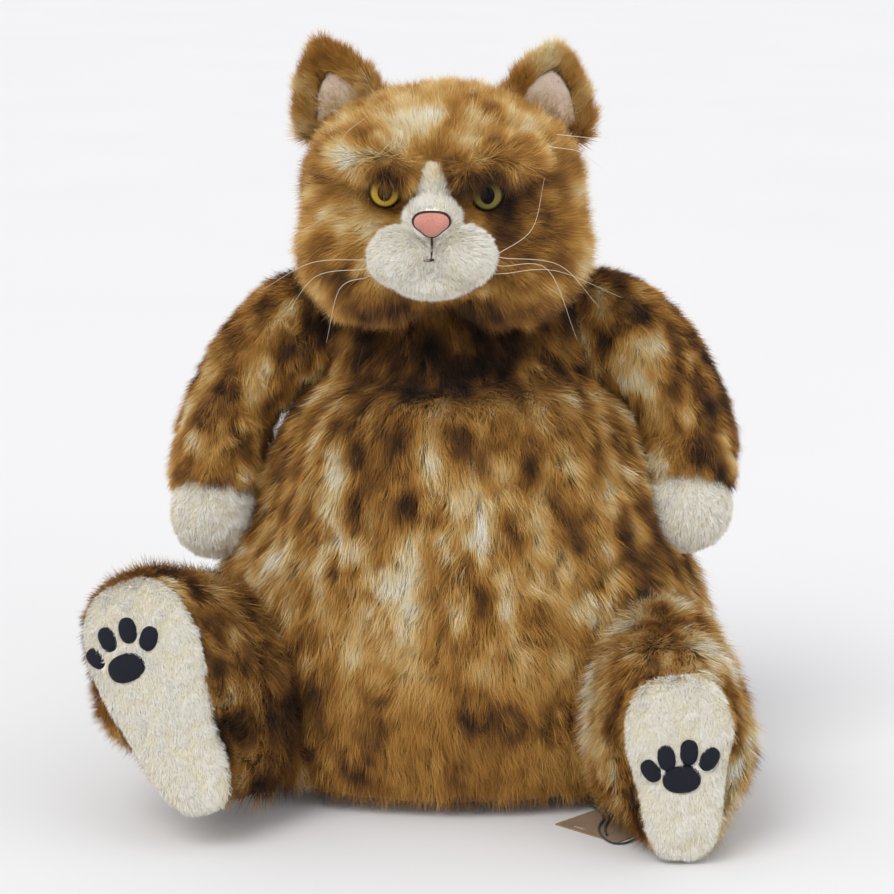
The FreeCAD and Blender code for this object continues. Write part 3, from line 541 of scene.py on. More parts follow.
def strands(name, form, body, finish, pile, length, lift, comb, tone,
            density=constant(1.0), lock=(7.0, 0.4), droop=0.1, stray=0.26, seed=1):
    """Pile as ribbons: each is a straight triangle, wide at its root and pointed at its tip.

    A strand leans from the comb direction at LEAN times its lift. Its tip is drawn towards the middle of
    its lock by the share lock[1], and hangs lower by the share droop of its length. Its dye is the coat's
    where its root stands and where its tip ends, as on printed pile.
    """
    count, width = PILES[pile]
    rng = np.random.default_rng(seed)
    root, normal = form.scatter(count, density, rng)
    way = comb(root, normal) + rng.normal(0, stray, root.shape)
    way = unit(way - normal * np.sum(way * normal, axis=1, keepdims=True))
    spot, _, own = nearest_spot(root, lock[0], seed)
    twist = (own - 0.5)[:, None] * 0.9
    way = unit(way + np.cross(normal, way) * twist)
    long = length(root, normal) * rng.uniform(0.68, 1.14, count) * (0.84 + 0.28 * own)
    angle = lift(root, normal) + rng.normal(0, 0.17, count) + (own - 0.5) * 0.3
    gather = spot - root
    gather = gather - normal * np.sum(gather * normal, axis=1, keepdims=True)
    lean = (angle * LEAN)[:, None]
    tip = root + (normal * np.sin(lean) + way * np.cos(lean)) * long[:, None]
    tip = tip + gather * lock[1] + DOWN * (droop * long)[:, None]
    foot, tip = np.maximum(root, ABOVE_FLOOR), np.maximum(tip, ABOVE_FLOOR)
    ahead = unit(tip - foot + 1e-6)
    side = unit(np.cross(ahead, normal) + 1e-6)
    roll = rng.normal(0, 0.75, count)[:, None]
    side = unit(side * np.cos(roll) + np.cross(ahead, side) * np.sin(roll))
    half = (width * rng.uniform(0.75, 1.25, count) / 2)[:, None]
    own_dye = rng.normal(0, 0.03, count) + (own - 0.5) * 0.08
    at_root, at_tip = tone(root, normal) + own_dye, tone(tip, normal) + own_dye
    points = np.stack([foot - side * half, foot + side * half, tip], axis=1).reshape(-1, 3)
    tones = np.clip(np.stack([at_root, at_root, at_tip], axis=1), LEAST_TONE, MOST_TONE).ravel()
    along = np.tile(np.array([0.0, 0.0, 1.0]), count)
    sway = np.tile(np.array([-1, 1, 0]) * 0.0025, count)
    uv = np.stack([np.clip(tones + sway, 0.001, 0.999), 0.004 + 0.992 * along], axis=1)
    triangles = np.arange(3 * count).reshape(-1, 3)
    thing = write_mesh(name, points, [triangles], {"tone": tones, "along": along}, uv)
    return finish_piece(thing, body, finish)


def skin(name, form, body, nodes, tone, finish=None):
    """A sewn skin: the backing that carries the pile, in the tone of the pile over it; its finish paints the
    shade under the pile.
    """
    dye = np.clip(tone(form.points, form.normals), LEAST_TONE, MOST_TONE)
    thing = write_mesh(name, form.points, form.polygons, {"tone": dye})
    return finish_piece(thing, body, finish or BACKING, nodes)


# ---------------------------------------------------------------- coat pattern
# The shade under the chin fades in between these heights.
CHIN_LIT, CHIN_DARK = 272, 258


def mottle(p, seed=0):
    """Ground of the coat: broad and narrow clouds of noise round a golden middle."""
    q = p * np.array([1.0, 1.0, 0.72])
    broad, narrow = noise(q, 34.0, 3 + seed), noise(q, 13.0, 11 + seed)
    fine = noise(q, 6.5, 17 + seed)
    return 0.53 + (broad - 0.5) * 0.46 + (narrow - 0.5) * 0.86 + (fine - 0.5) * 0.62


def spots(p, size, strength, seed):
    """Dark blotches: for some scattered spots, a hump as wide as its own number says."""
    q = p * np.array([1.0, 1.0, 0.75])
    _, gap, own = nearest_spot(q, size, seed)
    return -strength * (own > 0.4) * np.exp(-((gap / (size * (0.24 + 0.16 * own))) ** 4))


def flecks(p, size, strength, seed):
    """Pale blotches: for some scattered spots, a soft round hump."""
    q = p * np.array([1.0, 1.0, 0.8])
    _, gap, own = nearest_spot(q, size, seed)
    return strength * (own > 0.55) * np.exp(-((gap / (size * 0.3)) ** 2))


def rosettes(p, size, seed):
    """Open rosettes: a dark broken ring round a rust heart, on a pale ground."""
    q = p * np.array([1.0, 1.0, 0.9])
    _, gap, _ = nearest_spot(q, size, seed)
    ring = np.exp(-(((gap - size * 0.3) / (size * 0.11)) ** 2))
    heart = np.exp(-((gap / (size * 0.2)) ** 2))
    broken = noise(p, size * 0.35, seed + 5)
    return -0.34 * ring * (broken > 0.38) - 0.1 * heart + 0.14


def belly_tone(p, n):
    """Mottled belly: pale down its middle, with painted shade on the chest under the chin and along the
    belly's top edge, darker towards the hem, with rosettes low down.
    """
    low = smooth_between(120, 60, p[:, 2]) * smooth_between(95, 70, np.abs(p[:, 0] - 15))
    tone = mottle(p) + spots(p, 19.0, 0.34, 31) + flecks(p, 16.0, 0.4, 41)
    tone = tone * (1 - low) + (0.56 + rosettes(p, 30.0, 51) + (noise(p, 12.0, 9) - 0.5) * 0.2) * low
    tone = tone + 0.2 * bump(p, (-25, -110, 118), (26, 60, 40))
    tone = tone + 0.12 * bump(p, (20, -100, 160), (14, 60, 34))
    tone = tone + 0.12 * bump(p, (-35, -100, 70), (16, 60, 26))
    tone = tone - 0.1 * bump(p, (105, -60, 90), (28, 60, 60))
    # Painted shade along the belly's top edge, below the chin; the belly also darkens towards the bottom.
    tone = tone - 0.12 * bump(p, (30, -80, 206), (70, 60, 16)) - 0.27 * smooth_between(105, 50, p[:, 2])
    streak = noise(p * np.array([1.0, 1.0, 0.3]), 7.0, 19) - 0.5
    # Painted shade: the chest above the belly, under the chin, is darkened.
    tone = tone + 0.02 + 0.22 * streak - 0.32 * smooth_between(210, 222, p[:, 2]) * (p[:, 1] < 20)
    tone = tone + 0.14 * bump(p, (-16, -50, 236), (22, 40, 12)) + 0.1 * bump(p, (60, -90, 120), (24, 60, 70))
    return tone


def arm_tone(p, n):
    """Darker than the belly, and darkest on the right arm; part of this darkening is painted shade."""
    darker = np.where(p[:, 0] < 0, 0.2, 0.12)
    return mottle(p, 2) + spots(p, 15.0, 0.3, 33) + flecks(p, 13.0, 0.4, 43) - darker


def leg_tone(p, n):
    """Painted shade in the creases between the legs and the belly, and paler on the left leg."""
    # Painted shade: the creases where the legs meet the belly are darkened.
    crease_shade = bump(p, (-100, -120, 50), (22, 70, 60)) + bump(p, (88, -130, 40), (14, 60, 50))
    side = np.where(p[:, 0] < 0, -0.05, 0.13)
    return mottle(p, 4) + spots(p, 18.0, 0.3, 35) + flecks(p, 18.0, 0.3, 45) - 0.2 * crease_shade + side


def back_tone(p, n):
    return mottle(p, 6) + spots(p, 23.0, 0.32, 37) + flecks(p, 22.0, 0.28, 47)


EYES = {side: middle(f"{side}_eye_dome") for side in SIDES}
NOSE = middle("nose_pad")


def head_tone(p, n):
    """Gold face with a pale crown patch, pale cheeks beside the eyes and dark brows that meet the nose."""
    x, z = p[:, 0] - NOSE[0], p[:, 2]
    tone = 0.54 + (noise(p, 26.0, 21) - 0.5) * 0.4 + (noise(p, 10.0, 22) - 0.5) * 0.56
    tone = tone + (noise(p, 5.0, 26) - 0.5) * 0.34 + 0.03
    front = smooth_between(-20, -60, p[:, 1])
    tone = tone + 0.5 * bump(p, (-13, -60, 358), (17, 45, 13)) + 0.36 * bump(p, (-56, -74, 342), (11, 40, 9))
    tone = tone + 0.14 * bump(p, (-62, -60, 300), (12, 40, 18)) + 0.12 * bump(p, (44, -60, 352), (10, 40, 8))
    tone = tone - 0.2 * bump(p, (-50, -90, 352), (12, 40, 5)) - 0.24 * bump(p, (-74, -60, 326), (9, 40, 16))
    for side, hand in SIDES.items():
        eye = EYES[side]
        away = (p[:, 0] - eye[0]) * hand
        brow = np.exp(-(((z - eye[2] - 12 - 0.3 * away) / 5.5) ** 2)) * np.exp(-((away / 17) ** 2))
        rim = np.exp(-(np.hypot(away, z - eye[2]) / 12.0) ** 4)
        line = np.exp(-(((z - eye[2] + 4 - 0.25 * away) / 4.5) ** 2)) * smooth_between(8, 22, away)
        tone = tone - front * (0.3 * brow + 0.42 * rim + 0.16 * line)
    tone = tone - 0.2 * front * np.exp(-((x / 15) ** 2)) * smooth_between(336, 350, z) * (z < 362)
    # Painted shade: the left cheek below the eye, on the face's shaded side, is darkened.
    tone = tone - 0.22 * bump(p, (30, -70, 300), (14, 60, 26)) * front
    tone = tone - 0.28 * smooth_between(CHIN_LIT, CHIN_DARK, z)
    return tone + spots(p, 20.0, 0.2, 39) + flecks(p, 18.0, 0.2, 49)


# ---------------------------------------------------------------- comb directions
def swirl(p, size, amount, seed):
    """A gentle wander of the comb: three independent clouds of noise as a vector."""
    return amount * np.stack([noise(p, size, seed + k) - 0.5 for k in range(3)], axis=1)


def comb_down(p, n):
    out = np.stack([p[:, 0] * 0.005, p[:, 1] * 0.007, -np.ones(len(p))], axis=1)
    return out + swirl(p, 38.0, 1.0, 61)


def over_eye(p, side, hand):
    """1 on the brow just above an eye, falling to 0 round it."""
    x, z = (p[:, 0] - EYES[side][0]) * hand, p[:, 2] - EYES[side][2]
    over = np.exp(-((x - 1) / 16) ** 4) * smooth_between(2, 5, z) * smooth_between(20, 15, z)
    return over * (p[:, 1] < -50)


def comb_face(p, n):
    """Away from the nose, turning down on the cheeks and up and back on the crown."""
    away = unit(p - (NOSE + np.array([0, 12, 0])))
    away[:, 2] -= 0.35 * smooth_between(335, 300, p[:, 2])
    for side, hand in SIDES.items():
        over = over_eye(p, side, hand)[:, None]
        away = away * (1 - over) + np.array([-0.2 * hand, -0.3, -1.0]) * over
    return away + swirl(p, 26.0, 0.6, 71)


def comb_towards(target):
    goal = np.array(target, float)
    return lambda p, n: unit(goal - p) + swirl(p, 30.0, 0.8, 81)


def comb_way(direction, wander=0.8):
    way = np.array(direction, float)
    return lambda p, n: way + swirl(p, 30.0, wander, 91)


# ---------------------------------------------------------------- turned frames
def spin(axis, degrees):
    """The turn about X, Y or Z by an angle in degrees, as a matrix."""
    c, s = math.cos(math.radians(degrees)), math.sin(math.radians(degrees))
    i, j = {"X": (1, 2), "Y": (2, 0), "Z": (0, 1)}[axis]
    turn = np.eye(3)
    turn[i, i], turn[i, j], turn[j, i], turn[j, j] = c, -s, s, c
    return turn


# ---------------------------------------------------------------- torso
TORSO_X = 2.0
SIDE_SEAM, HEM, SHOULDERS = 25, 1.8, 262
TORSO = [
    (1.5, 104, -86, 80),
    (10, 122, -102, 92),
    (30, 133, -109, 99),
    (60, 135, -112, 101),
    (100, 126, -110, 98),
    (140, 108, -103, 92),
    (180, 92, -94, 84),
    (200, 81, -90, 78),
    (213, 70, -80, 74),
    (222, 70, -56, 71),
    (244, 74, -42, 70),
    (257, 66, -36, 62),
    (266, 50, -28, 48),
    (270, 30, -16, 30),
]


def make_torso():
    """One skin over the torso's panels, its filling, and pile in four pieces, front and back."""
    form = Form(ring_form(TORSO, TORSO_X, rows=90, cols=110))
    covers = ("belly_panel", "back_left_panel", "back_right_panel", "seat_panel")
    skin("torso_skin", form, "torso", covers, lambda p, n: np.where(
        p[:, 1] < 0, belly_tone(p, n), back_tone(p, n)))
    filling("torso_filling", [form], "torso", "torso_stuffing")

    def open_to(p, n):
        under_head = (p[:, 2] > SHOULDERS) & (np.hypot((p[:, 0] + 6) / 46, (p[:, 1] + 31) / 44) < 1)
        return smooth_between(-0.55, -0.2, n[:, 2]) * ~under_head * (p[:, 2] > HEM)

    def front(p, n):
        return (p[:, 1] < SIDE_SEAM) * open_to(p, n)

    def back(p, n):
        return (p[:, 1] >= SIDE_SEAM) * open_to(p, n)

    def long(p, n):
        return 13.0 + 1.5 * smooth_between(40, 120, p[:, 2]) - 3.0 * smooth_between(215, 235, p[:, 2])

    def lift(p, n):
        return 0.64 - 0.2 * smooth_between(0.3, 0.9, n[:, 2])

    for name, side in (("belly_fur_left", 1), ("belly_fur_right", -1)):
        half = lambda p, n, side=side: front(p, n) * ((p[:, 0] - TORSO_X) * side > 0)
        strands(name, form, "torso", PILE, "belly_half", long, lift, comb_down,
                belly_tone, half, lock=(6.5, 0.42), seed=10 + side)
    for name, side in (("back_fur_left", 1), ("back_fur_right", -1)):
        half = lambda p, n, side=side: back(p, n) * ((p[:, 0] - TORSO_X) * side > 0)
        strands(name, form, "torso", PILE, "back_half", long, lift, comb_down,
                back_tone, half, seed=14 + side)


# ---------------------------------------------------------------- head
HEAD_MIDDLE = (-6, -38, 314)
FACE_EDGE = -28
SKULL = [
    ((-6, -31, 318), (66, 57, 50)),
    ((27, -48, 289), (35, 36, 31)),
    ((-39, -48, 289), (35, 36, 31)),
    ((5, -83, 333), (10, 13, 7)),
    ((22, -76, 339), (18, 17, 8)),
    ((-29, -83, 334), (10, 13, 7)),
    ((-45, -76, 341), (17, 17, 8)),
    ((-11, -80, 292), (30, 22, 20)),
]
MUZZLE = [
    ((2.5, -99, 293), (16.5, 19, 14.5)),
    ((-26, -99, 293), (16.5, 19, 14.5)),
    ((-11.5, -97, 281), (18, 17, 8.5)),
    ((-11.5, -95, 310), (13.5, 13.5, 13)),
    ((-11.5, -88, 325), (7.5, 10, 12)),
]


def eye_gap(p):
    """How far a place is from the nearer eye, in an oval measure."""
    measure = np.array([1, 0.6, 1.15])
    return np.min([np.linalg.norm((p - EYES[side]) * measure, axis=1) for side in SIDES], axis=0)


def make_head():
    """The head's skin and filling, with pile that leaves the eyes and the muzzle clear."""
    form = Form(blob(HEAD_MIDDLE, SKULL, rows=90, cols=110, blend=9.0))
    covers = ("face_panel", "head_back_left_panel", "head_back_right_panel")
    skin("head_skin", form, "head", covers, head_tone)
    filling("head_filling", [form], "head", "head_stuffing")

    def face(p, n):
        clear = smooth_between(9.0, 10.0, eye_gap(p))
        muzzle = np.linalg.norm((p - np.array([-11.5, -100, 290])) / np.array([26, 30, 21]), axis=1)
        thicker = 1 + 0.6 * bump(p, (-6, -90, 330), (50, 60, 30))
        return clear * (muzzle > 1) * (p[:, 1] < FACE_EDGE) * thicker

    def long(p, n):
        near = np.linalg.norm(p - NOSE, axis=1)
        brow = sum(over_eye(p, side, hand) for side, hand in SIDES.items())
        return 6.5 + 9.0 * smooth_between(22, 75, near) - 2.0 * smooth_between(345, 365, p[:, 2]) + 4.5 * brow

    def lift(p, n):
        return 0.6 - 0.1 * smooth_between(40, 10, eye_gap(p))

    for name, side in (("face_fur_left", 1), ("face_fur_right", -1)):
        half = lambda p, n, side=side: face(p, n) * ((p[:, 0] + 10) * side > 0)
        strands(name, form, "head", PILE, "face_half", long, lift, comb_face,
                head_tone, half, lock=(6.0, 0.4), droop=0.04, stray=0.28, seed=20 + side)
    strands("head_back_fur", form, "head", PILE, "head_back", constant(14.0), constant(0.5),
            comb_down, lambda p, n: back_tone(p, n) - 0.3 * smooth_between(CHIN_LIT, CHIN_DARK, p[:, 2]),
            lambda p, n: 1.0 * (p[:, 1] >= FACE_EDGE), seed=25)


def muzzle_tone(p, n):
    tone = 0.985 + (noise(p, 9.0, 23) - 0.5) * 0.05
    tone = tone - 0.1 * smooth_between(326, 337, p[:, 2]) - 0.05 * smooth_between(276, 266, p[:, 2])
    return tone


def make_muzzle():
    """Two short-piled lobes, the chin and the bridge, bare under the nose and along the mouth's seam."""
    form = Form(blob((-11, -90, 293), MUZZLE, rows=70, cols=80, blend=11.0))
    skin("muzzle_skin", form, "head", ("muzzle_cover",), muzzle_tone, SHORT_BACKING)

    def open_to(p, n):
        nose = np.hypot((p[:, 0] - NOSE[0]) / 9.5, (p[:, 2] - NOSE[2]) / 7.0)
        seam = np.hypot((p[:, 0] - NOSE[0]) / 1.3, (p[:, 2] - 297) / 10.0)
        front = p[:, 1] < -100
        return 1.0 * (p[:, 1] < -72) * ~((nose < 1) & front) * ~((seam < 1) & front)

    def comb(p, n):
        away = unit(p - np.array([-11.5, -100, 306]))
        up = smooth_between(312, 318, p[:, 2])[:, None]
        return away * (1 - up) + np.array([0, 0.25, 1.0]) * up + swirl(p, 14.0, 0.5, 65)

    strands("muzzle_fur", form, "head", SHORT_PILE, "muzzle", constant(4.2), constant(0.75),
            comb, muzzle_tone, open_to, lock=(3.0, 0.15), droop=0.03, seed=27)
    return form


def front_of(form, x, z):
    """How far forward the surface is in front of a place given by x and z."""
    facing = form.points[form.normals[:, 1] < -0.1]
    near = np.hypot(facing[:, 0] - x, facing[:, 2] - z)
    return facing[near < near.min() + 1.5][:, 1].min()


def make_nose_and_mouth(muzzle):
    """The velour nose, edged with thread, and the mouth's two stitched lines laid on the muzzle."""
    x, z = NOSE[0], NOSE[2]
    y = front_of(muzzle, x, z) + 1.5
    lumps = [((x - 4.1, y, z + 1.2), (5.5, 5.0, 4.7)), ((x + 4.1, y, z + 1.2), (5.5, 5.0, 4.7)),
             ((x, y - 0.3, z + 0.6), (6.2, 5.2, 5.6)), ((x, y - 0.4, z - 2.0), (5.2, 4.8, 4.8))]
    form = Form(blob((x, y, z), lumps, rows=40, cols=56, blend=7.0, reach=30.0))
    swell = np.array([1.03, 0.88, 1.04])
    outer = blob((x, y, z), lumps, rows=30, cols=56, blend=7.0, reach=30.0)
    edge = Form((outer - (x, y, z)) * swell + (x, y, z))
    pink = velour("pink_nose_velour", (0.62, 0.27, 0.21), (0.47, 0.18, 0.14), 1100.0)
    finish_piece(write_mesh("nose_cushion", form.points, form.polygons), "head", pink,
                 ("nose_pad",))
    thread_dark = stitched("mouth_thread", (0.035, 0.014, 0.010), (0.11, 0.05, 0.04), (0, 0, 1), 0.9)
    lines = [
        [(x, z - 5.5), (x + 0.2, z - 11), (x - 0.2, z - 17)],
        [(x + 1.4, z - 17.2), (x - 1.6, z - 17.6), (x - 4.6, z - 17.4)],
    ]
    forms = [edge]
    for line in lines:
        path = [(px, front_of(muzzle, px, pz) - 0.5, pz) for px, pz in line]
        forms.append(Form(thread(path, [0.6, 0.65, 0.3], cols=8)))
    finish_piece(write_mesh("mouth_thread_line", *joined(forms)), "head", thread_dark,
                 ("mouth_stitch",))


def eye_finish(name, centre, iris, rim):
    """A glazed eye: a wide black pupil, a little taller than wide, in a streaked ring with a dark edge."""
    made = Finish(name, Coat_Weight=0.0, Coat_Roughness=0.03, IOR=1.12)
    across, up = made.along((1, 0, 0), centre), made.along((0, 0, 1), centre)
    radius = (across * across + up * up) ** 0.5
    angle = across.math("ARCTAN2", up)
    streak = made.grain(600.0, 3.0)
    rays = (angle * 37.0 + streak * 6.0).math("SINE") * 0.5 + 0.5
    iris_colour = made.mix(rays * 0.55 + streak * 0.3, iris, rim)
    edge = radius.eased(6.2, 7.6)
    pupil = ((across * across * 1.5 + up * up) ** 0.5).eased(4.1, 4.9)
    toned = made.mix(edge, iris_colour, (0.010, 0.007, 0.005))
    made.colour(made.mix(pupil, (0.004, 0.004, 0.005), toned))
    made.rough(0.08 + 0.05 * streak)
    return made.material


# Iris and rim colours; the two eyes are one material, and the left eye's darker olive is painted shade.
EYE_LIT_AND_SHADED = {
    "left": ((0.23, 0.19, 0.05), (0.10, 0.08, 0.02)),
    "right": ((0.62, 0.42, 0.05), (0.26, 0.15, 0.02)),
}


def make_eyes():
    """Glazed eyes, turned a little outwards, over their black seats and washers."""
    black = Finish("black_eye_plastic", Coat_Weight=0.4)
    fine = black.grain(500.0, 2.0)
    black.colour(black.mix(fine, (0.012, 0.011, 0.010), (0.03, 0.027, 0.024))).rough(0.3 + 0.2 * fine)
    for side, hand in SIDES.items():
        centre = EYES[side] + np.array([0, 1.5, 0])
        turn = spin("Z", hand * 14)
        rings = blob((0, 0, 0), [((0, 0, 0), (9.0, 6.5, 9.0))], rows=40, cols=56, reach=30.0)
        form = Form(rings @ turn.T + centre)
        iris, rim = EYE_LIT_AND_SHADED[side]
        glaze = eye_finish(f"{side}_eye_glaze", tuple(centre), iris, rim)
        finish_piece(write_mesh(f"{side}_eye_ball", form.points, form.polygons), "head", glaze,
                     (f"{side}_eye_dome",))
        for part in ("seat", "washer"):
            coat_node(f"{side}_eye_{part}", black.material)


def coat_node(node, finish):
    """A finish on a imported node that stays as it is."""
    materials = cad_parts[node].data.materials
    materials.clear()
    materials.append(finish)


# ---------------------------------------------------------------- ears
EARS = {
    "left": dict(at=(44, -16, 347), roll=8, yaw=20, tip=0.16, inset=6.0),
    "right": dict(at=(-56, -16, 351), roll=-17, yaw=-24, tip=-0.06, inset=9.0),
}
EAR_BASE, EAR_HIGH, EAR_LEAN = 52.0, 42.0, 12.0


def ear_outline(inset, count=14):
    """A pointed arch: half width = half base * (1 - height share^1.8)^0.68, over a straight foot."""
    half, high = EAR_BASE / 2 - inset, EAR_HIGH - 1.5 * inset
    share = np.linspace(0, 1, count)
    wide = half * np.maximum(1 - share**1.8, 0) ** 0.68
    foot = np.stack([np.linspace(-half, half, count)[1:-1], np.full(count - 2, -3.0)], axis=1)
    right = np.stack([wide, high * share], axis=1)
    left = np.stack([-wide[::-1], high * share[::-1]], axis=1)[1:]
    return np.vstack([foot, right, left]) - np.array([0, 0.38 * high])


def make_ears():
    """Each ear is a piled leaf with a satin lining set in it, cupped forward, and a pale tuft at its foot."""
    satin = Finish("pink_ear_satin", Sheen_Weight=0.1)
    weave, cloud = satin.grain(1500.0, 2.0), satin.grain(60.0, 3.0)
    worn = (weave * 0.4 + cloud * 0.6).eased(0.3, 0.7)
    satin.colour(satin.mix(worn, (0.55, 0.42, 0.33), (0.76, 0.62, 0.51)))
    satin.rough(0.36 + 0.2 * weave).relief(weave * 0.4 + cloud * 0.6, 0.35, 0.6)
    for number, (side, ear) in enumerate(EARS.items()):
        turn = spin("Z", ear["yaw"]) @ spin("Y", ear["roll"]) @ spin("X", 90 + EAR_LEAN)

        def placed(rings, inset, turn=turn, ear=ear):
            """The flat leaf's foot moved to the origin, its sides cupped forward, then set on the head."""
            high = EAR_HIGH - 1.5 * inset
            local = rings.copy()
            local[..., 1] += 0.38 * high
            cup = 8.0 * ((local[..., 0] / (EAR_BASE / 2)) ** 2 - 0.55) * (1 - 0.4 * local[..., 1] / EAR_HIGH)
            local[..., 2] += cup
            return local @ turn.T + np.array(ear["at"])

        def leaf(inset, thick, forward):
            flat = (1, 0, 0), (0, 1, 0), (0, 0, 1)
            return Form(placed(pillow(ear_outline(inset), (0, 0, forward), *flat, thick, rows=24), inset))

        back = leaf(0.0, 2.6, 0.0)
        out = turn @ np.array([0, 0, 1.0])
        skin(f"{side}_ear_skin", back, "head", (f"{side}_ear_back",), constant(0.42))
        lining = leaf(ear["inset"], 1.6, 2.6)
        finish_piece(write_mesh(f"{side}_ear_satin", lining.points, lining.polygons), "head", satin.material,
                     (f"{side}_ear_lining",))
        tip = np.array(ear["at"]) + turn @ np.array([0, EAR_HIGH, 0])

        def ear_tone(p, n, tip=tip, ear=ear):
            near = smooth_between(24, 6, np.linalg.norm(p - tip, axis=1))
            return 0.6 + (noise(p, 12.0, 29) - 0.5) * 0.5 + ear["tip"] * near

        def rim(p, n, out=out, ear=ear, turn=turn):
            local = (p - np.array(ear["at"])) @ turn
            high = np.clip(local[:, 1] / (EAR_HIGH - 1.4 * ear["inset"]), 0, 1)
            half = (EAR_BASE / 2 - ear["inset"]) * np.maximum(1 - high**1.55, 0) ** 0.72
            lined = (np.abs(local[:, 0]) < half) & (n @ out > 0.2) & (local[:, 1] > 2)
            return np.where(lined, 0.0, 1.0)

        up = turn @ np.array([0, 1.0, 0])
        strands(f"{side}_ear_fur", back, "head", PILE, "ear", constant(10.5), constant(0.75),
                comb_way(up, 0.5), ear_tone, rim, lock=(4.0, 0.3), droop=0.0, seed=30 + number)
        tufts = lambda p, n, out=out, ear=ear: 1.0 * (n @ out > 0.4) * bump(
            p, np.array(ear["at"]) + np.array([-6 * SIDES[side], -4, 4]), (15, 12, 9))
        strands(f"{side}_ear_tuft", back, "head", PILE, "ear_tuft", constant(10.0),
                constant(0.7), comb_way(up, 0.5), lambda p, n: 0.82 + (noise(p, 6.0, 28) - 0.5) * 0.2, tufts,
                lock=(4.0, 0.3), droop=0.0, seed=34 + number)


# ---------------------------------------------------------------- arms
ARMS = {
    "left": dict(
        line=[(56, 8, 245, 14, 14), (74, 6, 243, 25, 25), (97, 2, 231, 24, 27), (115, -2, 210, 21.5, 25),
              (123.5, -8, 189, 21.5, 23), (124.5, -14, 173, 22, 22), (123, -18, 164, 21, 20),
              (123, -20, 159, 9, 9)],
        paw=(123, -26, 147), hand=(23.5, 22, 22.5),
    ),
    "right": dict(
        line=[(-60, 8, 245, 14, 14), (-77, 6, 242, 25, 25), (-99, 2, 228, 23, 26), (-116, -1, 205, 20.5, 24),
              (-124, -6, 183, 20.5, 22), (-126.5, -11, 167, 21, 21), (-127, -14, 158, 21, 20),
              (-127, -16, 153, 9, 9)],
        paw=(-129, -21, 143), hand=(22, 21, 23),
    ),
}


def cream_tone(p, n):
    return 0.978 + (noise(p, 14.0, 25) - 0.5) * 0.012


def make_arms():
    """Piled sleeves that end in short cream paws."""
    for number, (side, arm) in enumerate(ARMS.items()):
        body = f"{side}_arm"
        form = Form(sleeve(arm["line"], (0, 1, 0), rows=60, cols=56))
        skin(f"{side}_arm_skin", form, body, (f"{side}_arm_sleeve",), arm_tone)
        comb = comb_towards(np.array(arm["paw"]) + np.array([0, 0, -60]))
        strands(f"{side}_arm_fur", form, body, PILE, "arm", constant(11.0), constant(0.64),
                comb, arm_tone, seed=40 + number)
        x, y, z = arm["paw"]
        wrist = ((x, y + 5, z + 12), (17, 17, 16))
        lumps = [(arm["paw"], arm["hand"]), wrist]
        paw = Form(blob((x, y, z), lumps, rows=60, cols=72, blend=9.0, reach=60.0))
        skin(f"{side}_paw_skin", paw, body, (f"{side}_paw_cover",), cream_tone, SHORT_BACKING)
        filling(f"{side}_arm_filling", [form, paw], body, f"{side}_arm_stuffing")
        strands(f"{side}_paw_fur", paw, body, SHORT_PILE, "paw", constant(3.8), constant(0.75),
                comb_way((0, -0.2, -1)), cream_tone, lock=(4.0, 0.15), seed=44 + number)


# ---------------------------------------------------------------- legs
LEGS = {
    "left": dict(hip=(103, -28, 56), sole=(111, -178, 49), turns=(0, 2, -3), reach=85, half=41, tall=60,
                 toe=27, heel=20, long=93, waist=1.0, bend=0.0, shift=(0, -3), spread=0.72, twist=4,
                 instep=(0, 0, 3)),
    "right": dict(hip=(-97, -36, 54), sole=(-149, -148, 76), turns=(-8, 12, -20), reach=70, half=39, tall=62,
                  toe=30, heel=21.0, long=122, waist=0.0, bend=6.5, shift=(-9, 20), spread=1.0, twist=-4,
                  instep=(-7, 0, 4)),
}
# How far each leg's cloth reaches behind its hip.
BEHIND = 38.0


def sole_outline(leg, cols=72, grow=0.0):
    """Half width runs from the heel's to the toes' with a slight waist; both ends are round, the heel
    swung aside by bend."""
    angle = np.linspace(0, 2 * math.pi, cols, endpoint=False)
    up = np.sign(np.sin(angle)) * np.abs(np.sin(angle)) ** 0.68
    wide = leg["heel"] + (leg["toe"] - leg["heel"]) * smooth_between(-0.5, 0.6, up)
    wide = wide - leg["waist"] * np.exp(-(((up + 0.12) / 0.28) ** 2)) + grow
    across = wide * np.sign(np.cos(angle)) * np.abs(np.cos(angle)) ** 0.68
    across = across + leg["bend"] * np.clip(-up, 0, 1) ** 1.3
    return np.stack([across, up * (leg["long"] / 2 + grow)], axis=1)


def sole_frame(leg):
    yaw, lean, roll = leg["turns"]
    return spin("Z", yaw) @ spin("X", -lean) @ spin("Y", roll) @ spin("X", 90)


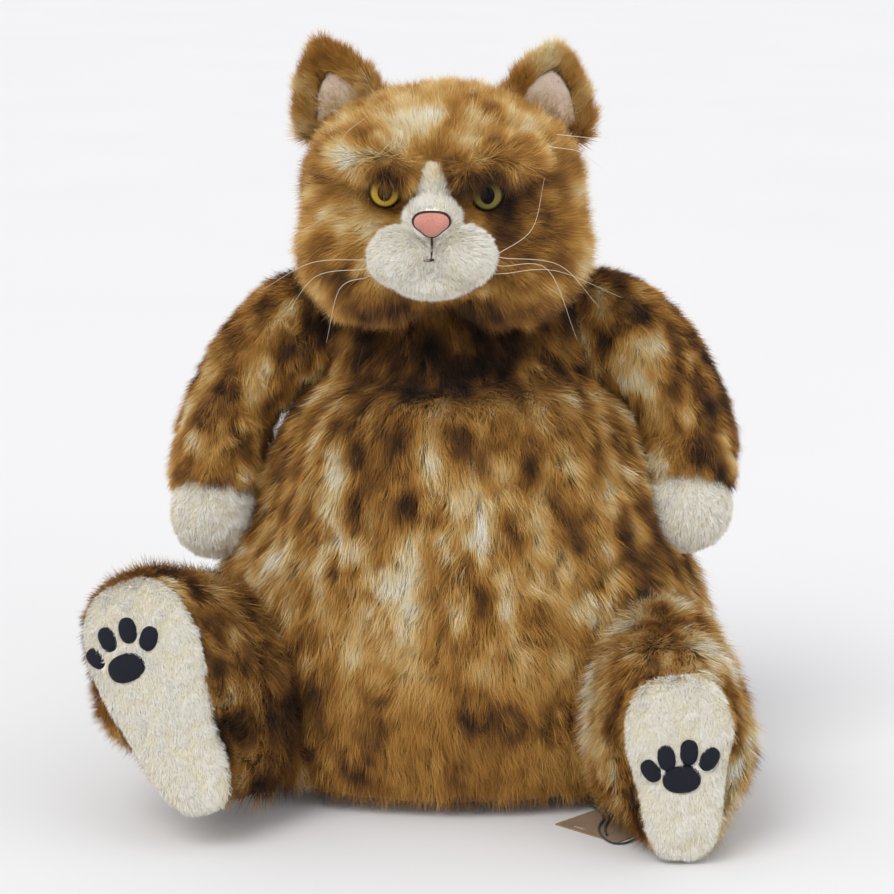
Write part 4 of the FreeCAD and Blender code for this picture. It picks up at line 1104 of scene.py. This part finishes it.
def leg_rings(leg, rows=64, cols=72):
    """An oval leg about the line from hip to sole, whose rings turn and change into the sole's outline."""
    hip, sole, turn = np.array(leg["hip"], float), np.array(leg["sole"], float), sole_frame(leg)
    ahead = unit(sole - hip)
    side = unit(np.cross(turn[:, 1], ahead))
    rise = np.cross(ahead, side)
    t = np.linspace(0, 1, rows)[:, None, None]
    far = np.linalg.norm(sole - hip) - 3.0
    out = -BEHIND + 6 + (far + BEHIND - 6) * t
    share = np.clip((out - leg["reach"]) / (leg["reach"] + BEHIND - 5), -0.995, 0.995)
    bulge = np.sqrt(1 - share**2)
    angle = np.linspace(0, 2 * math.pi, cols, endpoint=False)[None, :, None]
    oval = side * np.cos(angle) * (leg["half"] - 5) * bulge + rise * np.sin(angle) * (leg["tall"] - 5) * bulge
    outline = sole_outline(leg, cols, -1.5)[None]
    foot = outline[..., :1] * turn[:, 0] + outline[..., 1:] * turn[:, 1]
    change = smooth_between(0.5, 0.97, t)
    mixed = oval * (1 - change) + foot * change
    wider = np.linalg.norm(oval, axis=-1, keepdims=True) / np.linalg.norm(mixed, axis=-1, keepdims=True)
    mixed = mixed * (1 + (np.maximum(wider, 1) - 1) * smooth_between(1.0, 0.9, t))
    instep = np.array(leg["instep"]) * np.exp(-(((t - 0.86) / 0.09) ** 2))
    rings = hip + ahead * out + mixed + instep
    rings[..., 2] = 2.5 + np.logaddexp(0, (rings[..., 2] - 2.5) / 3.0) * 3.0
    return rings


PADS = {
    "palm": (0, 0, 9.5, 7.2, 0),
    "outer_toe": (-14.5, 8, 4.4, 6.2, 32),
    "long_toe": (-6.2, 16, 4.6, 6.6, 8),
    "middle_toe": (5, 18, 4.6, 6.6, -6),
    "inner_toe": (14.5, 11.5, 4.6, 6.4, -34),
}
SOLE_THICK = 8.5


def make_legs():
    """Piled legs, their cream soles, and the paw print stitched on each."""
    navy = stitched("navy_pad_thread", (0.006, 0.006, 0.012), (0.022, 0.022, 0.040), (0.6, 0, 0.8), 0.7)
    for number, (side, leg) in enumerate(LEGS.items()):
        body = f"{side}_leg"
        turn = sole_frame(leg)
        across, up, out = turn[:, 0], turn[:, 1], turn[:, 2]
        face = np.array(leg["sole"], float)
        form = Form(leg_rings(leg))
        skin(f"{side}_leg_skin", form, body, (f"{side}_leg_cover",), leg_tone)
        filling(f"{side}_leg_filling", [form], body, f"{side}_leg_stuffing", 4.0)

        def on_leg(p, n, face=face, out=out):
            return smooth_between(-0.8, -0.35, n[:, 2]) * ((p - face) @ out < -4.5)

        def long(p, n, face=face, out=out):
            return 8.5 + 8.0 * smooth_between(6, 45, -(p - face) @ out)

        comb = comb_towards(face + out * 30 + np.array([0, 0, -30]))
        strands(f"{side}_leg_fur", form, body, PILE, "leg", long, constant(0.62), comb,
                leg_tone, on_leg, seed=50 + number)
        sole = Form(pillow(sole_outline(leg), face - out * 3.0, across, up, out, SOLE_THICK, rows=34))
        skin(f"{side}_sole_skin", sole, body, (f"{side}_sole",), cream_tone, SHORT_BACKING)
        swing = spin("Z", leg["twist"])[:2, :2]
        places = {
            name: swing @ np.array([x, y * leg["spread"]]) + np.array(leg["shift"])
            for name, (x, y, *_) in PADS.items()
        }

        def bare(p, n, face=face, across=across, up=up, out=out, places=places):
            flat = np.stack([(p - face) @ across, (p - face) @ up], axis=1)
            keep = n @ out > -0.25
            for name, spot in places.items():
                x, y = (flat - spot).T
                turn_by = math.radians(PADS[name][4])
                u = x * math.cos(turn_by) + y * math.sin(turn_by)
                v = y * math.cos(turn_by) - x * math.sin(turn_by)
                keep = keep & (np.hypot(u / PADS[name][2], v / PADS[name][3]) > 0.95)
            return 1.0 * keep

        strands(f"{side}_sole_fur", sole, body, SHORT_PILE, "sole", constant(3.0),
                constant(0.8), comb_way(-up), cream_tone, bare, lock=(5.0, 0.1), seed=54 + number)
        pads = []
        for name, (x, y, half_wide, half_high, angle) in PADS.items():
            spot = places[name]
            edge = np.linalg.norm(spot / np.array([leg["toe"], leg["long"] / 2]))
            rise = SOLE_THICK * math.sqrt(max(1 - edge**3, 0.0)) - 3.0 + 0.9
            centre = face + across * spot[0] + up * spot[1] + out * rise
            outline = oval_outline(half_wide, half_high, math.radians(angle))
            pads.append(Form(pillow(outline, centre, across, up, out, 2.4, rows=18)))
        finish_piece(write_mesh(f"{side}_paw_print", *joined(pads)), body, navy,
                     (f"{side}_toe_pads",))


# ---------------------------------------------------------------- tail
TAIL = [(10, 84, 23, 11, 11), (10, 108, 22, 12, 12), (22, 136, 20, 12, 12), (52, 147, 19, 12, 12),
        (84, 148, 19, 12, 12), (96, 148, 19, 9, 9), (101, 148, 19, 3, 3)]


def make_tail():
    """The tail, round the back of the seat, with its pile lying along it."""
    form = Form(sleeve(TAIL, (0, 0, 1), rows=60, cols=40))
    skin("tail_skin", form, "tail", ("tail_cover",), back_tone)
    filling("tail_filling", [form], "tail", "tail_stuffing")

    def along_tail(p, n):
        turn = np.arctan2(p[:, 1] - 106, 52 - p[:, 0])
        bend = np.stack([np.sin(turn), np.cos(turn), 0 * turn], axis=1)
        way = np.where((p[:, 0] < 52)[:, None], bend, np.array([1.0, 0, 0]))
        return way + swirl(p, 20.0, 0.6, 95)

    strands("tail_fur", form, "tail", PILE, "tail", constant(13.0), constant(0.42),
            along_tail, back_tone, lambda p, n: 1.0 * (n[:, 2] > -0.6), seed=60)


# ---------------------------------------------------------------- whiskers
WHISKERS = {
    "left_whiskers": [
        ((22, -108, 296), (38, -114, 309), (44, -112, 334)),
        ((25, -106, 293), (52, -110, 290), (72, -104, 268)),
        ((24, -106, 289), (46, -112, 288), (61, -108, 252)),
        ((25, -104, 285), (50, -108, 287), (84, -100, 272)),
    ],
    "right_whiskers": [
        ((-46, -105, 292), (-72, -108, 291), (-97, -98, 276)),
        ((-47, -104, 287), (-70, -108, 284), (-86, -100, 262)),
        ((-45, -105, 283), (-58, -110, 278), (-65, -106, 250)),
    ],
    "brow_whiskers": [
        ((50, -84, 346), (63, -88, 344), (74, -82, 335)),
        ((54, -82, 352), (66, -84, 351), (78, -78, 350)),
        ((-50, -84, 342), (-56, -90, 352), (-44, -86, 362)),
    ],
}


def make_whiskers():
    """Nylon whiskers, each a tapered thread that starts inside the cloth."""
    nylon = Finish("whisker_nylon", Coat_Weight=0.3)
    grain = nylon.grain(300.0, 2.0)
    nylon.colour(nylon.mix(grain, (0.66, 0.58, 0.44), (0.80, 0.74, 0.62))).rough(0.32 + 0.12 * grain)
    for name, lines in WHISKERS.items():
        forms = []
        for root, bend, end in lines:
            start = tuple(1.25 * r - 0.25 * b for r, b in zip(root, bend))
            forms.append(Form(thread([start, root, bend, end], [0.17, 0.16, 0.12, 0.05], cols=6, rows=22)))
        group = write_mesh(f"{name}_set", *joined(forms))
        finish_piece(group, "head", nylon.material, (name,))


# ---------------------------------------------------------------- tag and its cord
CORDS = {
    "tag_cord_outer": (0.0941, [
        (66.7, -79.5, 2.55), (68, -87, 2.4), (74, -98, 2), (77.5, -112, 1.7), (72.5, -127, 1.5),
        (74.5, -141, 1.4), (79, -149.5, 0.9), (85, -149.7, 0.8), (89.5, -145.2, 0.8), (94.5, -137.5, 0.8),
    ]),
    "tag_cord_inner": (0.0623, [
        (69.7, -78, 2.55), (71, -86, 2.4), (77, -97, 2), (80.5, -112, 1.7), (75.5, -127, 1.5),
        (77, -138, 1.4),
    ]),
}
CORD_THICK = 1.0


def make_tag():
    """The card's finish, and each strand of its elastic as a smooth cord along its route."""
    board = Finish("kraft_board")
    fibre, cloud = board.grain(900.0, 5.0), board.grain(80.0, 3.0)
    worn = (fibre * 0.6 + cloud * 0.4).eased(0.3, 0.7)
    # Painted shade: the kraft's colours are darkened for the shade the card lies in.
    board.colour(board.mix(worn, (0.27, 0.18, 0.115), (0.38, 0.27, 0.18)))
    board.rough(0.8 + 0.15 * fibre).relief(fibre, 0.3, 0.15)
    coat_node("tag_card", board.material)
    elastic = Finish("black_elastic", Sheen_Weight=0.2)
    braid = (elastic.along((0.2, 0.9, 0.3)) * 5.0).math("SINE") * 0.5 + 0.5
    elastic.colour(elastic.mix(braid, (0.010, 0.010, 0.011), (0.045, 0.045, 0.05))).rough(0.6 + 0.2 * braid)
    elastic.relief(braid, 0.5, 0.15)
    for name, (length, route) in CORDS.items():
        curve = bpy.data.curves.new(f"{name}_line", "CURVE")
        curve.dimensions = "3D"
        curve.bevel_depth = CORD_THICK / 2 * MM
        curve.bevel_resolution = 3
        curve.resolution_u = 12
        curve.use_fill_caps = True
        spline = curve.splines.new("NURBS")
        spline.points.add(len(route) - 1)
        for knot, at in zip(spline.points, route):
            knot.co = (*(v * MM for v in at), 1.0)
        spline.order_u = 3
        spline.use_endpoint_u = True
        line = bpy.data.objects.new(f"{name}_line", curve)
        bpy.context.scene.collection.objects.link(line)
        finish_piece(line, "torso", elastic.material, (name,))


# ---------------------------------------------------------------- hidden filling
def make_filling():
    """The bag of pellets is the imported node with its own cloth."""
    coat_node("pellet_bag", filling_finish("pellet_bag_cloth", (0.70, 0.68, 0.62)))


# ---------------------------------------------------------------- floor, light and camera
# Half the floor's side, in metres.
FLOOR = 14.0
AIM = (-4.3 * MM, 0.0, 174 * MM)
AWAY, RISE = 1.7, math.radians(12)
SENSOR, LENS = 36.0, 126.6
KEY_FROM, KEY_STRENGTH, KEY_COLOUR, KEY_SPREAD = (-0.9, -1.3, 1.9), 1.35, (1.0, 0.985, 0.96), math.radians(35)
FILL_FROM, FILL_SIZE, FILL_POWER, FILL_COLOUR = (1.3, -1.5, 1.0), 1.6, 6, (0.97, 0.98, 1.0)
ROOM_COLOUR, ROOM_STRENGTH = (0.95, 0.955, 0.97, 1.0), 0.84


def make_stage():
    """A plain pale floor, level with the seat."""
    sweep = Finish("pale_sweep")
    soft = sweep.grain(3.0, 2.0)
    sweep.colour(sweep.mix(soft, (0.80, 0.80, 0.81), (0.83, 0.83, 0.84))).rough(0.9 + 0.05 * soft)
    mesh = bpy.data.meshes.new("floor")
    corners = [(x * FLOOR, y * FLOOR, 0.0) for x, y in ((-1, -1), (1, -1), (1, 1), (-1, 1))]
    mesh.from_pydata(corners, [], [(0, 1, 2, 3)])
    mesh.materials.append(sweep.material)
    floor = bpy.data.objects.new("floor", mesh)
    bpy.context.scene.collection.objects.link(floor)


def aim(thing, place):
    """Put a lamp or camera at a place and turn it to the cat."""
    thing.location = place
    thing.rotation_euler = (Vector(AIM) - Vector(place)).to_track_quat("-Z", "Y").to_euler()
    bpy.context.scene.collection.objects.link(thing)


def sun(name, place, strength, colour):
    lamp = bpy.data.lights.new(name, "SUN")
    lamp.energy, lamp.angle, lamp.color = strength, KEY_SPREAD, colour
    aim(bpy.data.objects.new(name, lamp), place)


def light(name, place, size, power, colour):
    lamp = bpy.data.lights.new(name, "AREA")
    lamp.shape, lamp.size, lamp.energy, lamp.color = "SQUARE", size, power, colour
    aim(bpy.data.objects.new(name, lamp), place)


def make_view():
    """The camera, one soft sun, one soft lamp and an even pale room."""
    scene = bpy.context.scene
    scene.view_settings.view_transform = "Standard"
    camera = bpy.data.objects.new("camera", bpy.data.cameras.new("camera"))
    camera.data.sensor_width, camera.data.lens = SENSOR, LENS
    aim(camera, (AIM[0], AIM[1] - AWAY * math.cos(RISE), AIM[2] + AWAY * math.sin(RISE)))
    scene.camera = camera
    sun("key", KEY_FROM, KEY_STRENGTH, KEY_COLOUR)
    light("fill", FILL_FROM, FILL_SIZE, FILL_POWER, FILL_COLOUR)
    world = bpy.data.worlds.new("room")
    world.use_nodes = True
    background = world.node_tree.nodes["Background"]
    background.inputs[0].default_value = ROOM_COLOUR
    background.inputs[1].default_value = ROOM_STRENGTH
    scene.world = world


make_torso()
make_head()
make_nose_and_mouth(make_muzzle())
make_eyes()
make_ears()
make_arms()
make_legs()
make_tail()
make_whiskers()
make_tag()
make_filling()
make_stage()
make_view()
